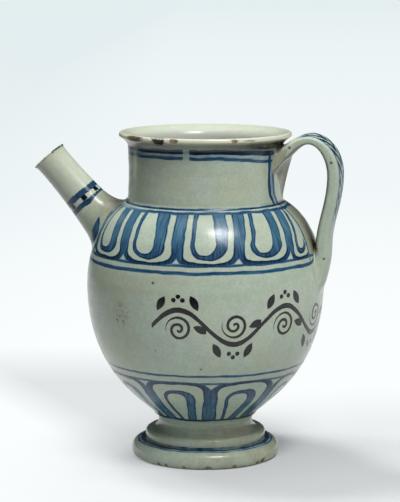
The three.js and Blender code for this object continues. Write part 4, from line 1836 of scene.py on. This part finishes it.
    def dress(self, palette: Palette) -> Fired:
        """Paint the feathered stripes on the strap's outer face and fire the coat.

        Args:
            palette: the finishes.

        Returns:
            The fired coat.
        """
        glaze, cobalt = palette.glaze, palette.cobalt
        coat = Coat("handle_tin_glaze", self.layout)
        add = coat.add
        names = ("along", "face")
        along, face = (add("Attribute", attribute_name=name).outputs["Fac"] for name in names)
        across = add("Math.ABSOLUTE", add("SeparateXYZ", coat.place).outputs["Y"])
        colour = glaze.burst(coat, glaze.ground(coat), self.bubbles)
        # The strap's under face, turned to the neck, is darkened with dirt and painted shade.
        under = add("MapRange", face, *self.under_face, 0.0, self.under_shade_and_soil)
        colour = glaze.soiled_and_shaded(coat, colour, under, least=0.7)
        sway = cobalt.sway(coat)
        streak = add("TexNoise", coat.place, None, self.streaks_per_mm, 3.0, 0.65)
        edge = self.width / 2 - self.border_inset
        border = add("Math", sway, add("Math.SUBTRACT", across, edge))
        slant = add("Math.MULTIPLY_ADD", along, self.stroke_slant, across)
        stroke = add("Math.FRACT", add(TIMES, slant, 1 / self.stroke_pitch))
        stroke = add("Math.SUBTRACT", stroke, 0.5)
        stroke = add("Math.MULTIPLY_ADD", stroke, self.stroke_pitch, sway)
        feather = cobalt.line(coat, stroke, self.stroke_width, 1.0, streak)
        feather = add(TIMES, feather, cobalt.within(coat, across, edge))
        first, last = self.painted
        rise, fall = self.paint_fades
        shown = coat.patch((along, first, first + rise), (along, last, last - fall), (face, *self.outer_face))
        wash = add("MapRange", streak, 0.4, 0.7, 0.0, 0.45)
        wash = add(TIMES, wash, cobalt.within(coat, across, edge))
        depths = [cobalt.line(coat, border, self.border_width, self.border_load, streak), feather, wash]
        depths = [add(TIMES, depth, shown) for depth in depths]
        rubbed = replace(glaze, gloss=self.rubbed_gloss, worn_gloss=self.rubbed_gloss + 0.1)
        return rubbed.fire(coat, cobalt.over(coat, colour, depths))


@dataclass(frozen=True)
class Lute:
    """A coil of soft clay pressed into the corner where a limb stands on a wall, smoothed with a finger."""

    name: str
    node: str
    climb: float
    spread: float
    ceiling: float
    drag: float = 0.0
    drag_fullness: float = 0.8
    saddle_fullness: float = 0.0
    steps: int = 12
    overlap: float = 1.2
    lap: float = 0.12
    bed: float = 1.0

    def build(
        self, layout: Layout, path: Path, heart: Path, root: np.ndarray, wall: Wall, out: float
    ) -> Piece:
        """Make the fillet's mesh.

        Args:
            layout: where the jug's axis stands.
            path: gives one point of each line along the limb.
            heart: gives the limb's middle at distances along it.
            root: where each line meets the wall, as distances along the limb.
            wall: the wall's radius by angle and height.
            out: 1 where the limb's distances grow away from the wall, else -1.

        Returns:
            The piece.
        """
        corner = path(root)
        high = root + out * self.climb
        further = high + out * self.overlap
        normal = self.normals(corner, wall)
        away = corner - corner.mean(axis=0)
        away -= (away * normal).sum(axis=1)[:, None] * normal
        away /= np.linalg.norm(away, axis=1)[:, None]
        under = np.clip(-away[:, 2:], 0, 1) ** 4
        reach = self.spread + self.drag * under
        low, beyond = (self.laid(corner + away * (reach + more), wall) for more in (0.0, self.overlap))
        full = self.drag_fullness * under * (self.drag > 0)
        full += self.saddle_fullness * np.clip(away[:, 2:], 0, 1) ** 2
        bend = corner * (1 - full) + (path(high) + low) / 2 * full
        share = np.linspace(0, 1, self.steps + 1)[:, None, None]
        curve = path(high) * (1 - share) ** 2 + bend * 2 * share * (1 - share) + low * share**2
        hidden = [
            pushed_in(beyond, self.lap),
            pushed_in(beyond, self.bed),
            pushed_in(self.sunk(corner, heart(root), self.bed), self.bed),
            self.sunk(path(further), heart(further), self.bed),
            self.sunk(path(further), heart(further), self.lap),
        ]
        laid = np.concatenate([share[:, 0], [[1.0], [1.0], [0.5], [0.0], [0.0]]]) * np.ones(len(corner))
        return skinned(self.name, np.concatenate([curve, np.stack(hidden)]), {"laid": laid}, layout.axis_x)

    def normals(self, points: Points, wall: Wall) -> Points:
        """Find the directions square to a turned wall.

        Args:
            points: points on the wall, in mm.
            wall: the wall's radius by angle and height.

        Returns:
            The unit directions.
        """
        turn = turn_of(points)
        slope = wall(turn, points[:, 2] + 0.5) - wall(turn, points[:, 2] - 0.5)
        normal = np.stack([np.cos(turn), np.sin(turn), -slope], axis=1)
        return normal / np.linalg.norm(normal, axis=1)[:, None]

    def laid(self, points: Points, wall: Wall) -> Points:
        """Lay points on a wall, below the lute's ceiling.

        Args:
            points: the points in mm.
            wall: the wall's radius by angle and height.

        Returns:
            The points on the wall.
        """
        lowered = points.copy()
        lowered[:, 2] = np.minimum(lowered[:, 2], self.ceiling)
        return snapped(lowered, wall)

    def sunk(self, points: Points, hearts: Points, depth: float) -> Points:
        """Return points sunk into a limb towards its middle by a depth in mm."""
        inward = hearts - points
        return points + depth * inward / np.linalg.norm(inward, axis=1)[:, None]


@dataclass(frozen=True)
class RingLute:
    """A coil of soft clay smoothed into the ring where two thrown pieces meet."""

    name: str
    node: str
    upper: Pair
    corner: Pair
    lower: Pair
    bed: float = 1.2
    sides: int = 320

    def build(self, layout: Layout) -> Piece:
        """Make the fillet's mesh.

        Args:
            layout: where the jug's axis stands.

        Returns:
            The piece.
        """
        curve = bezier(self.lower, self.corner, self.upper, steps=12)
        (wide, high), (wider, low) = self.upper, self.lower
        back = np.array([(wide - self.bed, high), (wider - self.bed * 2, low)])
        return skinned(self.name, turned(joined(curve, back), self.sides), {}, layout.axis_x)


@dataclass(frozen=True)
class Joins:
    """The soft clay that bonds the pieces, under a thinner coat."""

    layout: Layout
    belly: Belly
    neck: Neck
    spout: Spout
    handle: Handle
    handle_shade_turns: Pair = (40.0, 30.0)
    handle_shade: float = 0.5
    saddle_turns: Pair = (142.0, 160.0)
    saddle_radii: Pair = (76.0, 60.0)
    saddle_soil: float = 0.8
    strap_turns: Pair = (24.0, 20.0)
    strap_heights: Pair = (139.0, 145.0)
    lip_turns: Pair = (40.0, 34.0)
    lip_radii: Pair = (61.0, 54.0)
    petal_heights: Pair = (168.0, 166.5)
    petal_turns: Pair = (100.0, 101.0)
    petal_edge: Pair = (0.4, 0.44)
    line_reach: float = 56.0
    upright_reach: float = 54.5

    def dress(self, palette: Palette) -> Fired:
        """Carry the painting over the clay, with grime and painted shade by the handle and grime on the
        spout's saddle, and fire the coat.

        Args:
            palette: the finishes.

        Returns:
            The fired coat.
        """
        glaze, cobalt = palette.glaze, palette.cobalt
        top, rim = self.layout.belly_top, self.layout.rim
        coat = Coat("lute_tin_glaze", self.layout)
        add = coat.add
        on_neck = cobalt.between(coat, coat.height, top, rim - 6.0)
        # Painted shade darkens the clay beside the handle's root on the neck.
        mask = add("MapRange", coat.aside, *self.handle_shade_turns, 0.0, self.handle_shade)
        mask = add(TIMES, mask, on_neck)
        # The spout's saddle is grimy; under the strap grime and painted shade lie together, and under the lip
        # by the handle a shadow is painted.
        saddle = ((coat.aside, *self.saddle_turns), (coat.radius, *self.saddle_radii, 0.0, self.saddle_soil))
        strap_top, strap_foot = (coat.height, top - 1.0, top - 6.0), (coat.height, *self.strap_heights)
        strap_grime_and_shade = (strap_top, strap_foot, (coat.aside, *self.strap_turns))
        lip_foot = (coat.height, rim - 17.0, rim - 9.0)
        lip_shadow = (lip_foot, (coat.radius, *self.lip_radii), (coat.aside, *self.lip_turns))
        for limits in (saddle, strap_grime_and_shade, lip_shadow):
            mask = add("Math.MAXIMUM", mask, coat.patch(*limits))
        colour = glaze.soiled_and_shaded(coat, glaze.ground(coat), mask, least=0.6)
        sway = cobalt.sway(coat)
        streak = cobalt.streaks(coat, Along.ROUND)
        base_line = RingLine(top + 0.5, 1.5, 0.85, dry=0.3).depth(coat, cobalt, sway, streak)
        depths = [add(TIMES, base_line, cobalt.within(coat, coat.radius, self.line_reach))]
        upright = cobalt.between(coat, coat.height, top, top + 15.0)
        upright = add(TIMES, upright, cobalt.within(coat, coat.radius, self.upright_reach))
        for depth in self.neck.uprights(coat, cobalt, sway):
            depths.append(add(TIMES, depth, upright))
        laid = add("Attribute", attribute_name="laid").outputs["Fac"]
        on_saddle = ((coat.aside, *self.petal_turns), (coat.height, *self.petal_heights))
        petals = self.belly.shoulder.depth(coat, cobalt, sway)
        depths.append(add(TIMES, petals, coat.patch((laid, *self.petal_edge), *on_saddle)))
        return glaze.fire(coat, cobalt.over(coat, colour, depths))

    def build(self, fired: Fired) -> None:
        """Make every lute and hand it over.

        Args:
            fired: the lutes' fired coat.
        """
        spout, handle = self.spout, self.handle
        on_neck, on_belly = self.neck.wall_radius, self.belly.wall_radius
        top, base, rim = self.layout.belly_top, self.layout.belly_base, self.layout.rim
        saddle = Lute("spout_lute_glazed", "spout_lute", 15.0, 7.0, top + 2.5, saddle_fullness=0.4, bed=2.6)
        neck_root = Lute("handle_neck_lute_glazed", "handle_neck_lute", 12.0, 2.6, rim - 8.0, drag=18.0)
        shoulder_root = Lute("handle_shoulder_lute_glazed", "handle_shoulder_lute", 12.0, 2.6, top)
        limbs = (
            (saddle, spout.outer, spout.heart, spout.root(), on_belly, 1.0),
            (neck_root, handle.surface, handle.heart, handle.neck_root(), on_neck, 1.0),
            (shoulder_root, handle.surface, handle.heart, handle.shoulder_root(), on_belly, -1.0),
        )
        for lute, path, heart, root, wall, out in limbs:
            hand_over(lute.build(self.layout, path, heart, root, wall, out), fired, Slot.LUTE, lute.node)
        rings = (
            RingLute("neck_lute_glazed", "neck_lute", (52.2, top + 3.6), (52.6, top), (54.8, top - 0.5)),
            RingLute("foot_lute_glazed", "foot_lute", (34.9, base + 0.3), (32.9, base), (32.1, base - 3.6)),
        )
        for ring in rings:
            hand_over(ring.build(self.layout), fired, Slot.LUTE, ring.node)


@dataclass(frozen=True)
class Lamp:
    """A soft round lamp that faces the jug: its angles in degrees, distance and size in mm, power in watts.

    It stands to the right of the camera by its turn and above the horizon by its rise. The glaze mirrors only
    the lamps whose glints the eye should see.
    """

    name: str
    turn: float
    rise: float
    distance: float
    size: float
    power: float
    mirrored: bool = True


@dataclass(frozen=True)
class Studio:
    """The pale floor, the soft lamps and the camera. Distances are mm, angles degrees."""

    layout: Layout
    camera_distance: float = 1400.0
    camera_height: float = 350.0
    camera_turn: float = 10.0
    camera_pitch: float = 8.57
    photo_height_px: float = 502.0
    focal_px: float = 2101.6
    axis_offset_px: float = 5.5
    sensor: float = 36.0
    floor_reach: float = 30000.0
    lit_middle: Triple = (170.0, -75.0, 0.0)
    lit_reach: Pair = (140.0, 330.0)
    table_reach: Pair = (260.0, 700.0)
    left_edge: Pair = (-350.0, -1200.0)
    front_edge: Pair = (300.0, 800.0)
    left_fade: Triple = (-120.0, -400.0, 0.35)
    far_fades: tuple[Triple, ...] = ((430.0, 1500.0, 0.43), (1500.0, 9000.0, 0.55))
    painted_shadow_slant: float = 2.16
    painted_shadow_edge: Pair = (-180.0, -70.0)
    painted_shadow_depth: Pair = (-370.0, -230.0)
    painted_shadow_side: Pair = (40.0, -20.0)
    painted_shadow_share: float = 0.85
    floor_near: str = "#FBFEFF"
    floor_lit: str = "#CDD0D1"
    floor_far: str = "#E4EEF0"
    floor_painted_shadow: str = "#DEE1E1"
    table: str = "#C6C9C9"
    room: str = "#2A2C2E"
    sky: str = "#F2F7FA"
    sky_strength: float = 0.04
    lamps: tuple[Lamp, ...] = (
        Lamp("key", 27.0, 60.0, 1700.0, 600.0, 17.5),
        Lamp("softbox", 27.0, 46.0, 2000.0, 1200.0, 16.5, mirrored=False),
        Lamp("overhead", 0.0, 84.0, 1500.0, 1000.0, 4.0),
        Lamp("window", -142.0, 68.0, 1700.0, 420.0, 11.0, mirrored=False),
        Lamp("side_window", -115.0, 55.0, 1800.0, 420.0, 7.0, mirrored=False),
    )

    def camera(self) -> None:
        """Set the camera where the photograph was taken from."""
        data = bpy.data.cameras.new("camera")
        data.sensor_width = self.sensor
        data.lens = self.sensor * self.focal_px / self.photo_height_px
        turn = math.radians(self.camera_turn)
        eye = bpy.data.objects.new("camera", data)
        aside = self.layout.axis_x + self.camera_distance * math.sin(turn)
        eye.location = Vector((aside, -self.camera_distance * math.cos(turn), self.camera_height)) * MM
        yaw = turn + math.atan(self.axis_offset_px / self.focal_px)
        eye.rotation_euler = (math.pi / 2 - math.radians(self.camera_pitch), 0.0, yaw)
        bpy.context.scene.collection.objects.link(eye)
        bpy.context.scene.camera = eye

    def hang(self, lamp: Lamp) -> None:
        """Hang a lamp.

        Args:
            lamp: the lamp.
        """
        data = bpy.data.lights.new(lamp.name, "AREA")
        data.shape = "DISK"
        data.size = lamp.size * MM
        data.energy = lamp.power
        side = math.radians(lamp.turn + self.camera_turn - 90)
        up = math.radians(lamp.rise)
        towards = Vector((math.cos(side) * math.cos(up), math.sin(side) * math.cos(up), math.sin(up)))
        light = bpy.data.objects.new(lamp.name, data)
        light.location = (Vector((self.layout.axis_x, 0, self.layout.rim / 2)) + towards * lamp.distance) * MM
        light.rotation_euler = towards.to_track_quat("Z", "Y").to_euler()
        light.visible_glossy = lamp.mirrored
        bpy.context.scene.collection.objects.link(light)

    def floor(self) -> None:
        """Lay the floor under the jug."""
        reach = self.floor_reach * MM
        mesh = bpy.data.meshes.new("floor")
        corners = [(-reach, -reach, 0), (reach, -reach, 0), (reach, reach, 0), (-reach, reach, 0)]
        mesh.from_pydata(corners, [], [(0, 1, 2, 3)])
        mesh.materials.append(self.paper())
        floor = bpy.data.objects.new("floor", mesh)
        bpy.context.scene.collection.objects.link(floor)
        floor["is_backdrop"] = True

    def paper(self) -> Fired:
        """Make white paper: it takes the jug's cast shadow close by, and further off it is a glow to the eye
        with a painted shadow in it.

        Returns:
            The paper.
        """
        sheet = Coat("white_paper", self.layout)
        add = sheet.add
        rays = add("LightPath").outputs
        seen = add("Math.MAXIMUM", rays["Is Camera Ray"], rays["Is Glossy Ray"])
        seen = add("Math.MAXIMUM", seen, rays["Is Transmission Ray"])
        away = add("VectorMath.DISTANCE", sheet.place, self.lit_middle).outputs["Value"]
        turn = math.radians(self.camera_turn)
        ways = ((math.cos(turn), math.sin(turn), 0.0), (math.sin(turn), -math.cos(turn), 0.0))
        side, ahead = (add("VectorMath.DOT_PRODUCT", sheet.place, way).outputs["Value"] for way in ways)
        left = add("MapRange", side, *self.left_edge)
        front = add("MapRange", ahead, *self.front_edge)
        off_sheet = add(TIMES, add("Math.MAXIMUM", left, front), rays["Is Glossy Ray"])
        shown = add("MixRGB", off_sheet, self.tone(sheet, side, ahead), linear(self.room))
        far = add("MapRange", away, *self.lit_reach, interpolation_type="SMOOTHSTEP")
        lit = add("BsdfDiffuse", linear(self.floor_lit))
        backdrop = add("MixShader", far, lit, add("Emission", shown))
        spill = add("MapRange", away, *self.table_reach, interpolation_type="SMOOTHSTEP")
        table = add("BsdfDiffuse", add("MixRGB", spill, linear(self.table), linear(self.room)))
        add("OutputMaterial", add("MixShader", seen, table, backdrop))
        return sheet.material

    def tone(self, sheet: Coat, side: Node, ahead: Node) -> Node:
        """Shade the paper as the eye sees it: cooler far off and to the left, with a painted grey shadow
        behind the jug's left side.

        Args:
            sheet: the paper to work in.
            side: the distance to the right of the jug's axis, in mm.
            ahead: the distance from it towards the camera, in mm.

        Returns:
            Its colour.
        """
        add = sheet.add
        start, end, share = self.left_fade
        depth = add("MapRange", side, start, end, 0.0, share)
        for start, end, share in self.far_fades:
            fade = add("MapRange", sheet.radius, start, end, 0.0, share)
            depth = add("Math", depth, fade, use_clamp=True)
        tone = add("MixRGB", depth, linear(self.floor_near), linear(self.floor_far))
        # A soft shadow behind the jug on its left is painted on the paper as a grey tone.
        slant = add("Math.MULTIPLY_ADD", side, self.painted_shadow_slant, add(TIMES, ahead, -1.0))
        left = (side, *self.painted_shadow_side, 0.0, self.painted_shadow_share)
        painted_shadow = sheet.patch((slant, *self.painted_shadow_edge), (ahead, *self.painted_shadow_depth), left)
        return add("MixRGB", painted_shadow, tone, linear(self.floor_painted_shadow))

    def build(self) -> None:
        """Make the floor, the light and the camera."""
        self.floor()
        world = bpy.data.worlds.new("studio")
        world.use_nodes = True
        bpy.context.scene.world = world
        glow = world.node_tree.nodes["Background"]
        glow.inputs["Color"].default_value = linear(self.sky)
        glow.inputs["Strength"].default_value = self.sky_strength
        for lamp in self.lamps:
            self.hang(lamp)
        self.camera()
        bpy.context.scene.view_settings.view_transform = "Standard"


def build_jug(layout: Layout, palette: Palette) -> None:
    """Build and dress every piece.

    Args:
        layout: the places that the pieces share.
        palette: the finishes.
    """
    foot, belly, neck = Foot(layout), Belly(layout), Neck(layout)
    spout = Spout(layout, belly)
    handle = Handle(layout, belly, neck)
    hand_over(foot.build(), foot.dress(palette), Slot.GLAZE, "foot")
    hand_over(belly.build(spout.bore()), belly.dress(palette), Slot.GLAZE, "belly")
    hand_over(neck.build(), neck.dress(palette), Slot.GLAZE, "neck")
    hand_over(spout.build(), spout.dress(palette), Slot.GLAZE, "spout")
    hand_over(handle.build(), handle.dress(palette), Slot.GLAZE, "handle")

    joins = Joins(layout, belly, neck, spout, handle)
    joins.build(joins.dress(palette))


def main() -> None:
    """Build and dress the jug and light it."""
    logging.basicConfig(level=logging.INFO, format="%(name)s: %(message)s")
    layout = Layout.from_frame()
    build_jug(layout, Palette())
    Studio(layout).build()
    boxes = {"cad": CAD_BOX, "visual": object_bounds()}
    {name: [list(corner) for corner in box] for name, box in boxes.items()}


if __name__ == "__main__":
    main()
